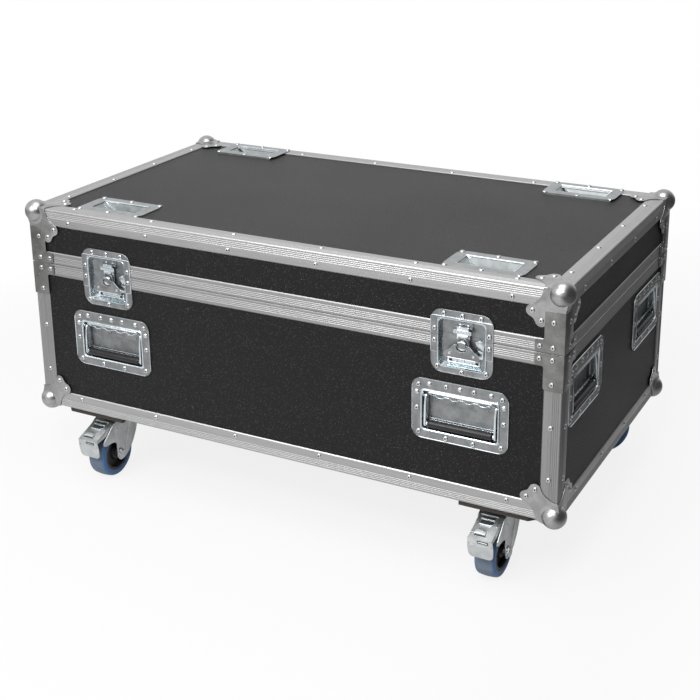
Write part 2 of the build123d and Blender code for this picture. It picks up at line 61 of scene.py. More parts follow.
# Where the fittings sit: face, distance along it to the right as seen from outside, and height.
HANDLES = ([(face, u, BODY_LOW + 155.0) for face in ("front", "back") for u in (-348.0, 348.0)]
           + [(face, u, BODY_LOW + 204.5) for face in ("right", "left") for u in (-176.0, 176.0)])
BAILS = ["bail_front_left", "bail_front_right", "bail_back_right", "bail_back_left",
         "bail_right_front", "bail_right_back", "bail_left_back", "bail_left_front"]
LATCH_U, NOTCH = 350.0, 92.0  # each latch interrupts the closing frame over the notch
LATCHES = [("front", -LATCH_U, "front_left"), ("front", LATCH_U, "front_right"),
           ("back", -LATCH_U, "back_right"), ("back", LATCH_U, "back_left")]
STACK_DISHES = [(-366.5, -220.5), (366.5, -220.5), (-366.5, 247.0), (366.5, 247.0)]
CASTORS = [(-400.0, -219.0, 0.0, "front_left"), (400.0, -219.0, 0.0, "front_right"),
           (-400.0, 247.0, -136.2, "back_left"), (400.0, 247.0, 136.2, "back_right")]

# Corners: the ball's centre inward from the faces, the leaf's thickness, the fold's radius and the rivet lobes.
BALL_IN, LEAF, FOLD = 9.0, 1.5, 1.5
LOBES = [(54.0, 39.0), (39.0, 54.0)]
BRACES = {"base": (368.0, 429.0, 408.5, 429.0), "lid": (431.2, 500.0, 431.2, 452.0)}  # z, and the arms' z

# Handles and latches, in a fitting's own axes: y inward, z up from its middle or from the parting line.
PIVOT_Y, PIVOT_Z, GRIP_Y, GRIP_Z = 8.5, 20.0, 5.0, -28.0
DRUM_Z, HINGE_Z = -12.0, -14.0
OUT = (0, -1, 0)

# Castors: how far the wheel trails, its axle's height, a leg's middle and its outer face; outlines as (y, z).
TRAIL, AXLE_Z, LEG_X, LEG_FACE = 38.0, 47.0, 22.75, 24.0
LEG = [(26, 118.8), (-40, 118.8), (-54, 114), (-54, 99), (-50, 90), (-46, 80), (-46, 50), (-44.5, 41),
       (-41, 34.5), (-36, 32), (-28, 32), (-19, 35), (-9, 42), (4, 55), (16, 76), (22, 95), (26, 110)]
CHEEK = [(-40, 118), (-54, 113.6), (-86, 86), (-83, 79), (-74, 77.6), (-60, 77.6), (-51, 75.5), (-45.5, 69)]

# Rivets: rows along the edging and their inset, the dishes' flange, and each kind as (material, profile).
LONG_ROW = [-432.0, -259.0, -86.0, 86.0, 259.0, 432.0]
END_ROW = [-205.0, -68.0, 68.0, 205.0]
ROW_IN, FLANGE = 22.8, 0.5
# A pop rivet's second profile is its shallow bore, in a dark finish: painted shade.
RIVETS = {"pop": [(0, [(0, -0.2), (4.7, -0.2), (4.3, 0.8), (3.2, 1.6), (1.5, 1.6)]),
                  (1, [(1.5, 1.6), (1.3, 0.5), (0, 0.4)])],
          "domed": [(0, [(0, 1.9), (2.2, 1.7), (4.2, 0.8), (4.9, -0.2), (0, -0.2)])],
          "black": [(2, [(0, 1.4), (1.2, 1.3), (2.8, 0.8), (3.4, -0.2), (0, -0.2)])]}

# Mesh making: when an edge is level, when it is sharp enough to round (radians), and when points are one.
LEVEL, SHARP, MERGE = 1e-6, 0.5, 0.0005

# The stage, in metres. The camera stands where the photograph was taken from.
AMBIENT, REFLECTED = 0.55, 0.95
LAMPS = [("key", (-0.9, -2.7, 2.1), 1.5), ("fill", (0.1, -0.7, 2.8), 2.0), ("front", (0.7, -2.2, 2.4), 0.6)]
CAMERA_SPOT = (1.1068, -2.0906, 1.2174)
CAMERA_AZIMUTH, CAMERA_ELEVATION, CAMERA_ROLL = 27.981, 17.989, -0.613
CAMERA_LENS, CAMERA_SHIFT = 67.983, -0.15


# Shader maths.
class Socket:
    """One output or number in a node tree; arithmetic on it adds Math nodes."""

    def __init__(self, tree, link):
        self.tree = tree
        self.link = link

    def feed(self, socket):
        if isinstance(self.link, bpy.types.NodeSocket):
            self.tree.links.new(self.link, socket)
        else:
            socket.default_value = self.link

    def maths(self, operation, *others):
        step = self.tree.nodes.new("ShaderNodeMath")
        step.operation = operation
        for socket, value in zip(step.inputs, (self, *others)):
            (value if isinstance(value, Socket) else Socket(self.tree, value)).feed(socket)
        return Socket(self.tree, step.outputs[0])

    def __add__(self, other):
        return self.maths("ADD", other)

    def __mul__(self, other):
        return self.maths("MULTIPLY", other)

    def __rsub__(self, other):
        return Socket(self.tree, other).maths("SUBTRACT", self)

    __radd__ = __add__
    __rmul__ = __mul__


class Graph:
    """A node tree under construction."""

    def __init__(self, tree):
        self.tree = tree

    def add(self, kind, settings, sockets, out=0):
        made = self.tree.nodes.new(kind)
        for key, value in settings.items():
            setattr(made, key, value)
        for key, value in sockets.items():
            if isinstance(value, Socket):
                value.feed(made.inputs[key])
            else:
                made.inputs[key].default_value = value
        return Socket(self.tree, made.outputs[out])

    def ramp(self, value, low, high):
        return self.add("ShaderNodeMapRange", {"interpolation_type": "SMOOTHSTEP"},
                        {"Value": value, "From Min": low, "From Max": high})


class Finish(Graph):
    """One material under construction, with its Principled shader and Object coordinates."""

    def __init__(self, name, constants=()):
        self.material = bpy.data.materials.new(name)
        self.material.use_nodes = True
        super().__init__(self.material.node_tree)
        self.shader = self.tree.nodes["Principled BSDF"]
        self.set(dict(constants))
        self.place = self.add("ShaderNodeTexCoord", {}, {}, "Object")

    def stretched(self, scale):
        return self.add("ShaderNodeMapping", {}, {"Vector": self.place, "Scale": scale})

    def noise(self, scale, detail=3.0, roughness=0.5, vector=None):
        return self.add("ShaderNodeTexNoise", {}, {"Vector": vector or self.place, "Scale": scale,
                                                   "Detail": detail, "Roughness": roughness}, "Fac")

    def mix(self, factor, first, second):
        return self.add("ShaderNodeMix", {"data_type": "RGBA"}, {0: factor, 6: first, 7: second}, 2)

    def set(self, links):
        for key, value in links.items():
            (value if isinstance(value, Socket) else Socket(self.tree, value)).feed(self.shader.inputs[key])

    def bump(self, height, strength, distance):
        self.set({"Normal": self.add("ShaderNodeBump", {}, {"Height": height, "Strength": strength,
                                                            "Distance": distance})})
        return self.material


def tint(r, g, b):
    """An opaque colour."""
    return (r, g, b, 1.0)


FINISHES = {}


def laminate():
    """Black phenolic laminate with a pebbled surface and pale flecks."""
    f = Finish("laminate", {"Specular IOR Level": 0.2})
    pebble = f.noise(330.0, 3.0, 0.65)
    dots = f.add("ShaderNodeTexVoronoi", {}, {"Vector": f.place, "Scale": 400.0}, "Distance")
    fleck = (1.0 - f.ramp(dots, 0.08, 0.36)) * f.ramp(f.noise(250.0, 1.0), 0.40, 0.62)
    cloud = f.noise(5.0, 3.0)
    base = f.mix(fleck, tint(0.0075, 0.0075, 0.0075), tint(0.10, 0.10, 0.10))
    f.set({"Base Color": base, "Roughness": 0.36 + 0.10 * cloud + 0.25 * fleck})
    return f.bump(pebble, 0.9, 0.0014)


def extrusion(name, along, tone):
    """Satin aluminium extrusion with faint die lines along its length; its tone gives lighter and darker copies of one
    aluminium, painted light and shade.
    """
    f = Finish(name, {"Metallic": 0.9})
    scale = [160.0, 160.0, 160.0]
    scale[along] = 2.0
    lines = f.noise(3.0, 2.0, 0.5, f.stretched(scale))
    dust = f.noise(26.0, 4.0)
    base = f.mix(lines, tint(*[0.34 * tone] * 3), tint(*[0.45 * tone] * 3))
    f.set({"Base Color": base, "Roughness": 0.30 + 0.14 * dust + 0.08 * lines})
    return f.bump(lines, 0.05, 0.0001)


def plate_metal(name, dark, pale, rough, spangle=60.0):
    """Zinc plated steel with a soft cloud in the plating and fine handling scratches."""
    f = Finish(name, {"Metallic": 1.0})
    cloud = f.noise(spangle, 4.0, 0.6)
    scratch = f.noise(4.0, 2.0, 0.5, f.stretched((300.0, 40.0, 90.0)))
    base = f.mix(f.ramp(cloud, 0.3, 0.75), tint(*dark), tint(*pale))
    f.set({"Base Color": base, "Roughness": rough + 0.10 * cloud + 0.06 * scratch})
    return f.bump(cloud * 0.6 + scratch * 0.4, 0.10, 0.0002)


def rubber(name, dark, pale, rough, dusty):
    """Moulded rubber, slightly dusty."""
    f = Finish(name, {"Specular IOR Level": 0.4})
    grain = f.noise(900.0, 2.0)
    dust = f.ramp(f.noise(38.0, 5.0, 0.65), 0.42, 0.78)
    f.set({"Base Color": f.mix(dust * dusty, tint(*dark), tint(*pale)), "Roughness": rough + 0.15 * dust})
    return f.bump(grain, 0.25, 0.0002)


def plywood():
    """Dark stained birch ply, with its plies showing in the cut edge."""
    f = Finish("plywood")
    split = f.add("ShaderNodeSeparateXYZ", {}, {"Vector": f.place}, "Z")
    ply = f.ramp((split * (2.0 * math.pi / 0.0030)).maths("SINE"), -0.3, 0.3)
    grain = f.noise(9.0, 5.0, 0.6, f.stretched((1.0, 14.0, 14.0)))
    base = f.mix(ply * 0.7, tint(0.022, 0.018, 0.015), tint(0.085, 0.066, 0.052))
    f.set({"Base Color": f.mix(grain * 0.4, base, tint(0.04, 0.032, 0.027)), "Roughness": 0.6 + 0.2 * grain})
    return f.bump(grain, 0.4, 0.0004)


def foam():
    """Closed-cell foam lining."""
    f = Finish("foam")
    cells = f.add("ShaderNodeTexVoronoi", {}, {"Vector": f.place, "Scale": 700.0}, "Distance")
    f.set({"Base Color": f.mix(cells, tint(0.02, 0.02, 0.022), tint(0.05, 0.05, 0.054)), "Roughness": 0.9})
    return f.bump(cells, 0.5, 0.0004)


def make_finishes():
    """Makes every material, with the roughness and the tyre colour that the user chose."""
    look = bpy.context.scene.flight_case_looks
    FINISHES.update(
        laminate=laminate(), plywood=plywood(), foam=foam(),
        # The runs along x and y take a lighter copy of the aluminium, and the uprights and the closing frames take
        # darker ones: painted light and shade.
        edge_x=extrusion("extrusion_x", 0, 1.08), edge_y=extrusion("extrusion_y", 1, 1.08),
        edge_z=extrusion("extrusion_z", 2, 0.82),
        frame_x=extrusion("closing_x", 0, 0.87), frame_y=extrusion("closing_y", 1, 0.87),
        zinc=plate_metal("zinc_plate", (0.23, 0.24, 0.245), (0.34, 0.35, 0.36), look.zinc_roughness),
        # The corner steel is lighter than the brace steel so that the balls read bright: painted highlight.
        corner=plate_metal("corner_steel", (0.34, 0.34, 0.338), (0.45, 0.45, 0.448), 0.22),
        brace=plate_metal("brace_steel", (0.20, 0.20, 0.195), (0.28, 0.28, 0.275), 0.26),
        # The brighter copy of the zinc: the bail arms, springs and hooks, and as painted highlight the rims, lips and
        # walls of the dishes and the lines on the pedal and the ledge.
        bright=plate_metal("bright_zinc", (0.58, 0.64, 0.67), (0.78, 0.83, 0.86), 0.18),
        pale=plate_metal("pale_zinc", (0.31, 0.33, 0.333), (0.41, 0.43, 0.436), 0.3),
        castor=plate_metal("castor_steel", (0.52, 0.54, 0.545), (0.68, 0.70, 0.705), 0.34),
        rivet=plate_metal("rivet_metal", (0.52, 0.53, 0.54), (0.70, 0.71, 0.72), 0.22, 200.0),
        # The rivets' bores are darkened: painted shade.
        bore=plate_metal("rivet_bore", (0.07, 0.07, 0.07), (0.12, 0.12, 0.12), 0.4),
        grip=rubber("grip_rubber", (0.010, 0.010, 0.011), (0.03, 0.03, 0.03), 0.3, 0.3),
        tyre=rubber("tyre_rubber", tuple(look.tyre_colour), (0.13, 0.22, 0.36), 0.42, 0.4),
        tread=rubber("tread_rubber", (0.115, 0.155, 0.215), (0.20, 0.225, 0.26), 0.55, 0.9),
        rim=rubber("rim_plastic", (0.012, 0.012, 0.012), (0.05, 0.045, 0.04), 0.42, 0.3),
        rim_edge=rubber("rim_edge_plastic", (0.045, 0.037, 0.031), (0.085, 0.074, 0.066), 0.5, 0.6),
        # A dark finish: painted shade in the pedal's slots, the black rivets' own colour, and two dark domes on each
        # latch channel.
        hole=rubber("dark_opening", (0.02, 0.02, 0.02), (0.04, 0.04, 0.04), 0.6, 0.3))


# Mesh making. Every helper works in millimetres and adds to the bmesh that it is given.
def on_face(face, u, z):
    """Local x across the panel, y inward from the edging face, z up."""
    spots = {"front": ((u, -HALF_Y, z), 0), "right": ((HALF_X, u, z), 90),
             "back": ((-u, HALF_Y, z), 180), "left": ((-HALF_X, -u, z), -90)}
    point, turn = spots[face]
    return Matrix.Translation(point) @ Matrix.Rotation(math.radians(turn), 4, "Z")


def fresh(items, before):
    """Those of a bmesh's vertices or faces that weren't there before."""
    return [item for item in items if item not in before]


def added(bm, make, *args, **words):
    """Runs make and gives back only the vertices it added."""
    before = set(bm.verts)
    make(bm, *args, **words)
    return fresh(bm.verts, before)


def painted(bm, index, make, *args, **words):
    """Runs make and gives the faces it added that material index."""
    before = set(bm.faces)
    make(bm, *args, **words)
    for face in fresh(bm.faces, before):
        face.material_index = index


def tinted(bm, index, test, make, *args, **words):
    """Runs make and gives that material index to those of its new faces whose centre and normal pass the test."""
    before = set(bm.faces)
    make(bm, *args, **words)
    bm.normal_update()
    for face in fresh(bm.faces, before):
        if test(face.calc_center_median(), face.normal):
            face.material_index = index


def arc(cx, cz, radius, start, end, steps=7):
    """Outline points along an arc, its angles in degrees."""
    turns = [math.radians(start + (end - start) * t / steps) for t in range(steps + 1)]
    return [(cx + radius * math.cos(turn), cz + radius * math.sin(turn)) for turn in turns]


def oblong(a0, b0, a1, b1):
    """The four corners of a rectangle, given its lowest and highest."""
    return [(a0, b0), (a1, b0), (a1, b1), (a0, b1)]


def pairs(spots):
    """Each spot (across, up) and its mirror image; a spot in the middle stays single."""
    return [(side * a, b) for a, b in spots for side in ((-1, 1) if a else (1,))]


def both_sides(half):
    """A lathe profile (radius, along) from its positive half."""
    return half + [(r, -s) for r, s in reversed(half) if s]


def plate(bm, corners, low, high, axes, radius=0.0, edge=0.0, segments=5):
    """A flat sheet: corners lie in the first two axes, its thickness runs along the third.

    The radius rounds every corner, or a list gives one for each; edge rounds the rim of both faces."""
    def at(a, b, c):
        spot = dict(zip(axes, (a, b, c)))
        return Vector((spot["x"], spot["y"], spot["z"]))

    before = set(bm.faces)
    verts = [bm.verts.new(at(a, b, low)) for a, b in corners]
    bm.faces.new(verts)
    for vert, r in zip(verts, radius if isinstance(radius, list) else [radius] * len(verts)):
        if r:
            bmesh.ops.bevel(bm, geom=[vert], offset=r, offset_type="OFFSET", segments=segments, profile=0.5,
                            affect="VERTICES", material=-1)
    grown = bmesh.ops.extrude_face_region(bm, geom=fresh(bm.faces, before))
    moved = [g for g in grown["geom"] if isinstance(g, bmesh.types.BMVert)]
    bmesh.ops.translate(bm, verts=moved, vec=at(0, 0, high - low))
    new = fresh(bm.faces, before)
    bmesh.ops.recalc_face_normals(bm, faces=new)
    if edge:
        along = at(0, 0, 1)
        rim_edges = {e for f in new for e in f.edges
                     if abs((e.verts[0].co - e.verts[1].co).dot(along)) < LEVEL
                     and len(e.link_faces) == 2 and e.calc_face_angle(0) > SHARP}
        bmesh.ops.bevel(bm, geom=list(rim_edges), offset=edge, offset_type="OFFSET", segments=2, profile=0.5,
                        affect="EDGES", material=-1)


def lathe(bm, profile, centre, axis, segments):
    """Turns (radius, along) points about an axis through centre."""
    axis = Vector(axis).normalized()
    out = axis.orthogonal().normalized()
    old_verts, old_faces = set(bm.verts), set(bm.faces)
    points = [bm.verts.new(Vector(centre) + out * r + axis * s) for r, s in profile]
    edges = [bm.edges.new(pair) for pair in zip(points, points[1:])]
    bmesh.ops.spin(bm, geom=points + edges, cent=centre, axis=axis, angle=2 * math.pi, steps=segments,
                   use_merge=True)
    bmesh.ops.remove_doubles(bm, verts=fresh(bm.verts, old_verts), dist=MERGE)
    bmesh.ops.recalc_face_normals(bm, faces=fresh(bm.faces, old_faces))


def loop(bm, width, height, radius, y, cx=0.0, cz=0.0):
    """A rounded rectangle of edges in the XZ plane at depth y."""
    before = set(bm.edges)
    verts = [bm.verts.new((cx + sx * width / 2, y, cz + sz * height / 2)) for sx, sz in oblong(-1, -1, 1, 1)]
    bm.faces.new(verts)
    bmesh.ops.bevel(bm, geom=verts, offset=radius, offset_type="OFFSET", segments=6, profile=0.5,
                    affect="VERTICES", material=-1)
    edges = fresh(bm.edges, before)
    bmesh.ops.delete(bm, geom=list({f for e in edges for f in e.link_faces}), context="FACES_ONLY")
    return edges


def joined(bm, loops, before):
    """Bridges loops of edges one to the next, closes both ends and turns the new faces outwards."""
    for one, two in zip(loops, loops[1:]):
        bmesh.ops.bridge_loops(bm, edges=one + two)
    for end in (loops[0], loops[-1]):
        bmesh.ops.contextual_create(bm, geom=end)
    bmesh.ops.recalc_face_normals(bm, faces=fresh(bm.faces, before))


def stamped(bm, rings):
    """A pressed form: rounded rectangles (width, height, radius, y[, cx, cz]) joined one to the next."""
    before = set(bm.faces)
    joined(bm, [loop(bm, *ring) for ring in rings], before)


def wire(bm, points, radius, segments, bend=6.0):
    """Round bar through the points, its corners rounded."""
    path = [Vector(points[0])]
    for before, here, after in zip(points, points[1:], points[2:]):
        here, one, two = Vector(here), Vector(before), Vector(after)
        a, b = here + (one - here).normalized() * bend, here + (two - here).normalized() * bend
        path += [a.lerp(here, t).lerp(here.lerp(b, t), t) for t in (0.0, 0.25, 0.5, 0.75, 1.0)]
    path.append(Vector(points[-1]))
    old_faces, rings = set(bm.faces), []
    for index, spot in enumerate(path):
        along = path[min(index + 1, len(path) - 1)] - path[max(index - 1, 0)]
        turn = along.to_track_quat("Z", "Y").to_matrix().to_4x4()
        made = bmesh.ops.create_circle(bm, segments=segments, radius=radius,
                                       matrix=Matrix.Translation(spot) @ turn)["verts"]
        rings.append(list({e for v in made for e in v.link_edges}))
    joined(bm, rings, old_faces)


def cut(bm, faces, point, normal):
    """Cuts these faces at a plane, takes off what lies on the side of its normal and closes the cut."""
    geom = list(faces) + list({e for f in faces for e in f.edges}) + list({v for f in faces for v in f.verts})
    made = bmesh.ops.bisect_plane(bm, geom=geom, plane_co=point, plane_no=normal, clear_outer=True)
    bmesh.ops.edgeloop_fill(bm, edges=[g for g in made["geom_cut"] if isinstance(g, bmesh.types.BMEdge)])


def move(bm, verts, matrix):
    """Transforms these vertices."""
    bmesh.ops.transform(bm, matrix=matrix, verts=verts)


def mirrored(bm, verts, axis):
    """Adds a mirror image of these vertices' faces across x or y zero."""
    faces = list({f for v in verts for f in v.link_faces})
    edges = list({e for f in faces for e in f.edges})
    copy = bmesh.ops.duplicate(bm, geom=list(verts) + edges + faces)["geom"]
    new_verts = [g for g in copy if isinstance(g, bmesh.types.BMVert)]
    new_faces = [g for g in copy if isinstance(g, bmesh.types.BMFace)]
    flip = Matrix.Scale(-1, 4, (1, 0, 0) if axis == "x" else (0, 1, 0))
    bmesh.ops.transform(bm, matrix=flip, verts=new_verts)
    bmesh.ops.reverse_faces(bm, faces=new_faces)
    return new_verts


def four_corners(bm):
    """Repeats what bm holds at all four corners of the case."""
    mirrored(bm, mirrored(bm, list(bm.verts), "x") + [v for v in bm.verts if v.co.x > 0], "y")


def piece(name, bm, body, finishes, stands_for, smooth=35.0):
    """Turns a bmesh in millimetres into a finished object that rides on a body."""
    move(bm, bm.verts, Matrix.Scale(MM, 4))
    mesh = bpy.data.meshes.new(name)
    bm.to_mesh(mesh)
    bm.free()
    mesh.shade_smooth()
    mesh.set_sharp_from_angle(angle=math.radians(smooth))
    obj = bpy.data.objects.new(name, mesh)
    bpy.context.scene.collection.objects.link(obj)
    for finish in finishes:
        mesh.materials.append(FINISHES[finish])
    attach(obj, body)
    if stands_for:
        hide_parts(*stands_for)


def placed(make, place):
    """A bmesh made in its own frame, then put where it belongs."""
    bm = bmesh.new()
    make(bm)
    move(bm, bm.verts, place)
    return bm


def gathered(forms):
    """One bmesh with every form (make, places) made once and copied to each of its places."""
    whole = bmesh.new()
    for make, places in forms:
        one = bmesh.new()
        make(one)
        mesh = bpy.data.meshes.new("one")
        one.to_mesh(mesh)
        one.free()
        for place in places:
            before = len(whole.verts)
            whole.from_mesh(mesh)
            whole.verts.ensure_lookup_table()
            move(whole, whole.verts[before:], place)
        bpy.data.meshes.remove(mesh)
    return whole


# Sizes and colours that a user may change.
class FlightCaseLooks(bpy.types.PropertyGroup):
    zinc_roughness: bpy.props.FloatProperty(
        name="Zinc roughness", description="How soft the reflections in the plated steel are",
        default=0.34, min=0.05, max=1.0, subtype="FACTOR")
    tyre_colour: bpy.props.FloatVectorProperty(
        name="Tyre colour", description="Colour of the castors' elastic tread",
        default=(0.060, 0.150, 0.330), min=0.0, max=1.0, subtype="COLOR")


class FlightCaseEdging(bpy.types.PropertyGroup):
    rib_pitch: bpy.props.FloatProperty(
        name="Rib pitch", description="Distance from one rib of the extrusion to the next",
        default=0.0032, min=0.0015, max=0.005, precision=5, unit="LENGTH")
    rib_depth: bpy.props.FloatProperty(
        name="Rib depth", description="Depth of the grooves between the ribs",
        default=0.0005, min=0.0001, max=0.001, precision=5, unit="LENGTH")
    rib_count: bpy.props.IntProperty(
        name="Ribs", description="Ribs on each flange, counted from the outer corner", default=4, min=1, max=6)


class FlightCaseStage(bpy.types.PropertyGroup):
    key_power: bpy.props.FloatProperty(
        name="Key light", description="Power of the large soft light in front of the case",
        default=48.0, min=0.0, subtype="POWER", unit="POWER")
    fill_power: bpy.props.FloatProperty(
        name="Fill light", description="Power of the overhead light",
        default=33.0, min=0.0, subtype="POWER", unit="POWER")
    front_power: bpy.props.FloatProperty(
        name="Front light", description="Power of the small light beside the camera",
        default=24.0, min=0.0, subtype="POWER", unit="POWER")
    floor_colour: bpy.props.FloatVectorProperty(
        name="Floor colour", description="Colour of the plain floor", default=(0.72, 0.72, 0.72),
        min=0.0, max=1.0, subtype="COLOR")


def rib_line(width):
    """(distance from the outer corner, depth) along one flange: ribs, then a flat band that steps down at its edge."""
    ribs = bpy.context.scene.flight_case_edging
    pitch, depth, first = ribs.rib_pitch / MM, ribs.rib_depth / MM, NOSE + 0.6
    line = [(first + (index + t) * pitch, depth * sunk) for index in range(ribs.rib_count) for t, sunk in GROOVE]
    return line + [(first + ribs.rib_count * pitch, 0.0), (width - 1.6, 0.0), (width, 1.2)]


def corner_profile():
    """Cross-section of the corner extrusion: both ribbed flanges, a round nose and the hidden inner side."""
    flange = rib_line(EDGE)
    outer = flange[::-1] + arc(NOSE, NOSE, NOSE, -90, -180, 6) + [(b, a) for a, b in flange]
    return outer + [(WALL, EDGE), (WALL, WALL), (EDGE, WALL)]


def run(bm, outline, axis, start, end, mitres=()):
    """A straight length of profile along an axis, its ends cut by the mitre planes (point, outward normal)."""
    before = set(bm.faces)
    plate(bm, outline, start, end, {"x": "yzx", "y": "xzy", "z": "xyz"}[axis])
    for point, normal in mitres:
        cut(bm, fresh(bm.faces, before), point, normal)


def both_ends(bm, make, axis):
    """Makes a form on the positive side of an axis and mirrors it to the other."""
    new = added(bm, make)
    return new + mirrored(bm, new, axis)


def frame_of_runs(bm, profile, notches=()):
    """Front, back and end runs of one closed frame, mitred upright at the corners.

    A profile is a list of (inset from the outer face, height). Notches are gaps in the long runs, as (from, to)."""
    stops = [(-HALF_X, -HALF_X), *notches, (HALF_X, HALF_X)]

    def front(bm):
        for (_, a), (b, _) in zip(stops, stops[1:]):
            ends = [((s * HALF_X, -HALF_Y, 0), (s, 1, 0)) for s, touches in
                    ((-1, a == -HALF_X), (1, b == HALF_X)) if touches]
            run(bm, [(-HALF_Y + d, z) for d, z in profile], "x", a, b, ends)

    def side(bm):
        run(bm, [(HALF_X - d, z) for d, z in profile], "y", -HALF_Y, HALF_Y,
            [((HALF_X, s * HALF_Y, 0), (-1, s, 0)) for s in (-1, 1)])

    both_ends(bm, front, "y")
    painted(bm, 1, both_ends, side, "x")


def edging(body, low, high):
    """Horizontal L runs at the case's floor or top, and four uprights from there to the closing frame."""
    bm = bmesh.new()
    profile = corner_profile()
    level, sign, start, end = (low, 1, low + EDGE, high) if body == "base" else (high, -1, low, high - EDGE)
    frame_of_runs(bm, [(b, level + sign * a) for a, b in profile])

    def upright(bm):
        run(bm, [(HALF_X - a, -HALF_Y + b) for a, b in profile], "z", start, end)

    # The uprights take the darker copy of the aluminium: painted shade.
    painted(bm, 2, lambda bm: mirrored(bm, both_ends(bm, upright, "x"), "y"))
    piece(body + "_edging_ribbed", bm, body, ["edge_x", "edge_y", "edge_z"], [body + "_edging"],
          RIB_SMOOTH)


class CasePanels(bpy.types.Operator):
    """Finish the panels, the lining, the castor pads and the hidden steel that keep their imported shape"""
    bl_idname = "flight_case.panels"
    bl_label = "Panels and Lining"

    def execute(self, context):
        make_finishes()
        looks = {"laminate": ["front_wall", "back_wall", "left_wall", "right_wall", "floor_panel", "lid_top",
                              "lid_walls"],
                 "foam": ["base_foam", "lid_foam"], "plywood": ["castor_pads"],
                 "zinc": ["castor_plates", "castor_bolts"], "pale": ["castor_dishes"],
                 "bright": ["latch_hook_" + tag for _, _, tag in LATCHES]}
        for finish, nodes in looks.items():
            for node in nodes:
                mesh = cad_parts[node].data
                mesh.materials.clear()
                mesh.materials.append(FINISHES[finish])
        return {"FINISHED"}


class CaseEdging(bpy.types.Operator):
    """Ribbed aluminium angle along every edge of the base and the lid"""
    bl_idname = "flight_case.edging"
    bl_label = "Edging"

    def execute(self, context):
        edging("base", BODY_LOW, PARTING - BAND)
        edging("lid", PARTING + BAND, BODY_TOP)
        return {"FINISHED"}


def band_profile(low, high):
    """Half of the closing frame from its parting edge, low, to its panel edge: a rounded lip, ribs and a flat."""
    sign = 1 if high > low else -1
    outer = [(0.0, 1.3), (0.7, 0.4), (1.6, 0.0), *rib_line(abs(high - low))]
    return [(d, low + sign * a) for a, d in outer] + [(WALL, high), (WALL, low)]


class CaseClosingFrames(bpy.types.Operator):
    """The two ribbed frames that meet where the lid sits on the base, open behind each latch"""
    bl_idname = "flight_case.closing_frames"
    bl_label = "Closing Frames"

    def execute(self, context):
        notches = [(u - NOTCH / 2, u + NOTCH / 2) for u in (-LATCH_U, LATCH_U)]
        for body, low, high, back in (("base", PARTING - 0.1, PARTING - BAND, 6.6),
                                      ("lid", PARTING + 0.3, PARTING + BAND, 6.0)):
            bm = bmesh.new()
            frame_of_runs(bm, band_profile(low, high), notches)
            # The plain inner wall behind the ribbed face, down to its back.
            frame_of_runs(bm, [(3.2, low), (3.2, high), (back, high), (back, low)], notches)
            # The closing frames take darker copies of the aluminium: painted shade.
            piece(body + "_closing_ribbed", bm, body, ["frame_x", "frame_y"], [body + "_closing_frame"],
                  RIB_SMOOTH)
        return {"FINISHED"}


def leaf(bm, place):
    """One flat leaf of a ball corner: x and z are distances in from the corner, y is its depth."""
    arm = [(37, -0.4), (37, 4), (38.2, 9), (40.8, 15), (44.6, 20.5), (49.5, 25.5)] + arc(*LOBES[0], 10.3, -80, 75)
    outline = [*arm, (51.8, 51.8), *[(b, a) for a, b in reversed(arm)], (-0.4, -0.4)]
    new = added(bm, plate, outline, -LEAF, 0.0, "xzy", 0, 0.5)
    new += added(bm, collar)
    move(bm, new, place)


def collar(bm):
    """Fillet from a leaf to the ball, mitred against the neighbouring leaves' fillets."""
    before = set(bm.faces)
    lathe(bm, [(24.5, 1.2), (22.6, 1.6), (21.0, 1.9), (19.4, 2.5), (17, 2.6), (12, 2.6), (12, 1.2), (24.5, 1.2)],
          (BALL_IN, 0, BALL_IN), OUT, 44)
    for normal in ((-1, 1, 0), (0, 1, -1)):
        cut(bm, fresh(bm.faces, before), (0, 0, 0), normal)


def corner_axes(origin, across, inward, along):
    """Matrix that sends local x, y and z to the given directions at a point."""
    basis = Matrix((across, inward, along)).transposed().to_4x4()
    return Matrix.Translation(origin) @ basis


def ball_corner(bm, top):
    """The corner at positive x and front, its leaves on two or three faces."""
    s = -1 if top else 1
    point = Vector((HALF_X, -HALF_Y, BODY_TOP if top else BODY_LOW))
    centre = point + Vector((-BALL_IN, BALL_IN, BALL_IN * s))
    bmesh.ops.create_uvsphere(bm, u_segments=40, v_segments=24, radius=20.99, matrix=Matrix.Translation(centre))
    leaf(bm, corner_axes(point, (-1, 0, 0), (0, 1, 0), (0, 0, s)))
    leaf(bm, corner_axes(point, (0, 1, 0), (-1, 0, 0), (0, 0, s)))
    folds = [(0, 0, s)]
    if top:
        leaf(bm, corner_axes(point, (-1, 0, 0), (0, 0, -1), (0, 1, 0)))
        folds += [(-1, 0, 0), (0, 1, 0)]
    for fold in folds:
        wire(bm, [point + 6 * Vector(fold), point + 37 * Vector(fold)], FOLD, 14)
    bmesh.ops.recalc_face_normals(bm, faces=bm.faces)


class CaseBallCorners(bpy.types.Operator):
    """Pressed steel ball corners, three-leaved at the top and two-leaved at the bottom"""
    bl_idname = "flight_case.ball_corners"
    bl_label = "Ball Corners"

    def execute(self, context):
        for top, body, node in ((True, "lid", "top_ball_corners"), (False, "base", "bottom_ball_corners")):
            bm = bmesh.new()
            ball_corner(bm, top)
            four_corners(bm)
            piece(node + "_pressed", bm, body, ["corner"], [node])
        return {"FINISHED"}


def brace(bm, z0, z1, arm0, arm1, reach):
    """One face of a corner brace: x is the distance in from the case's corner, z is its height."""
    up = arm1 > (z0 + z1) / 2
    tip, inner, end = (z0, arm0, arm1) if up else (z1, arm1, arm0)
    outline = [(-0.4, tip), (33, tip), (33, inner), (reach, inner), (reach, end), (-0.4, end)]
    plate(bm, outline, -1.8, 0.0, "xzy", [0, 5, 4, 4, 4, 0], 0.5, 4)
    lathe(bm, [(0, 0), (1.7, 0), (1.3, 0.5), (0, 0.7)], (12, -1.7, tip + (38 if up else -38)), OUT, 12)


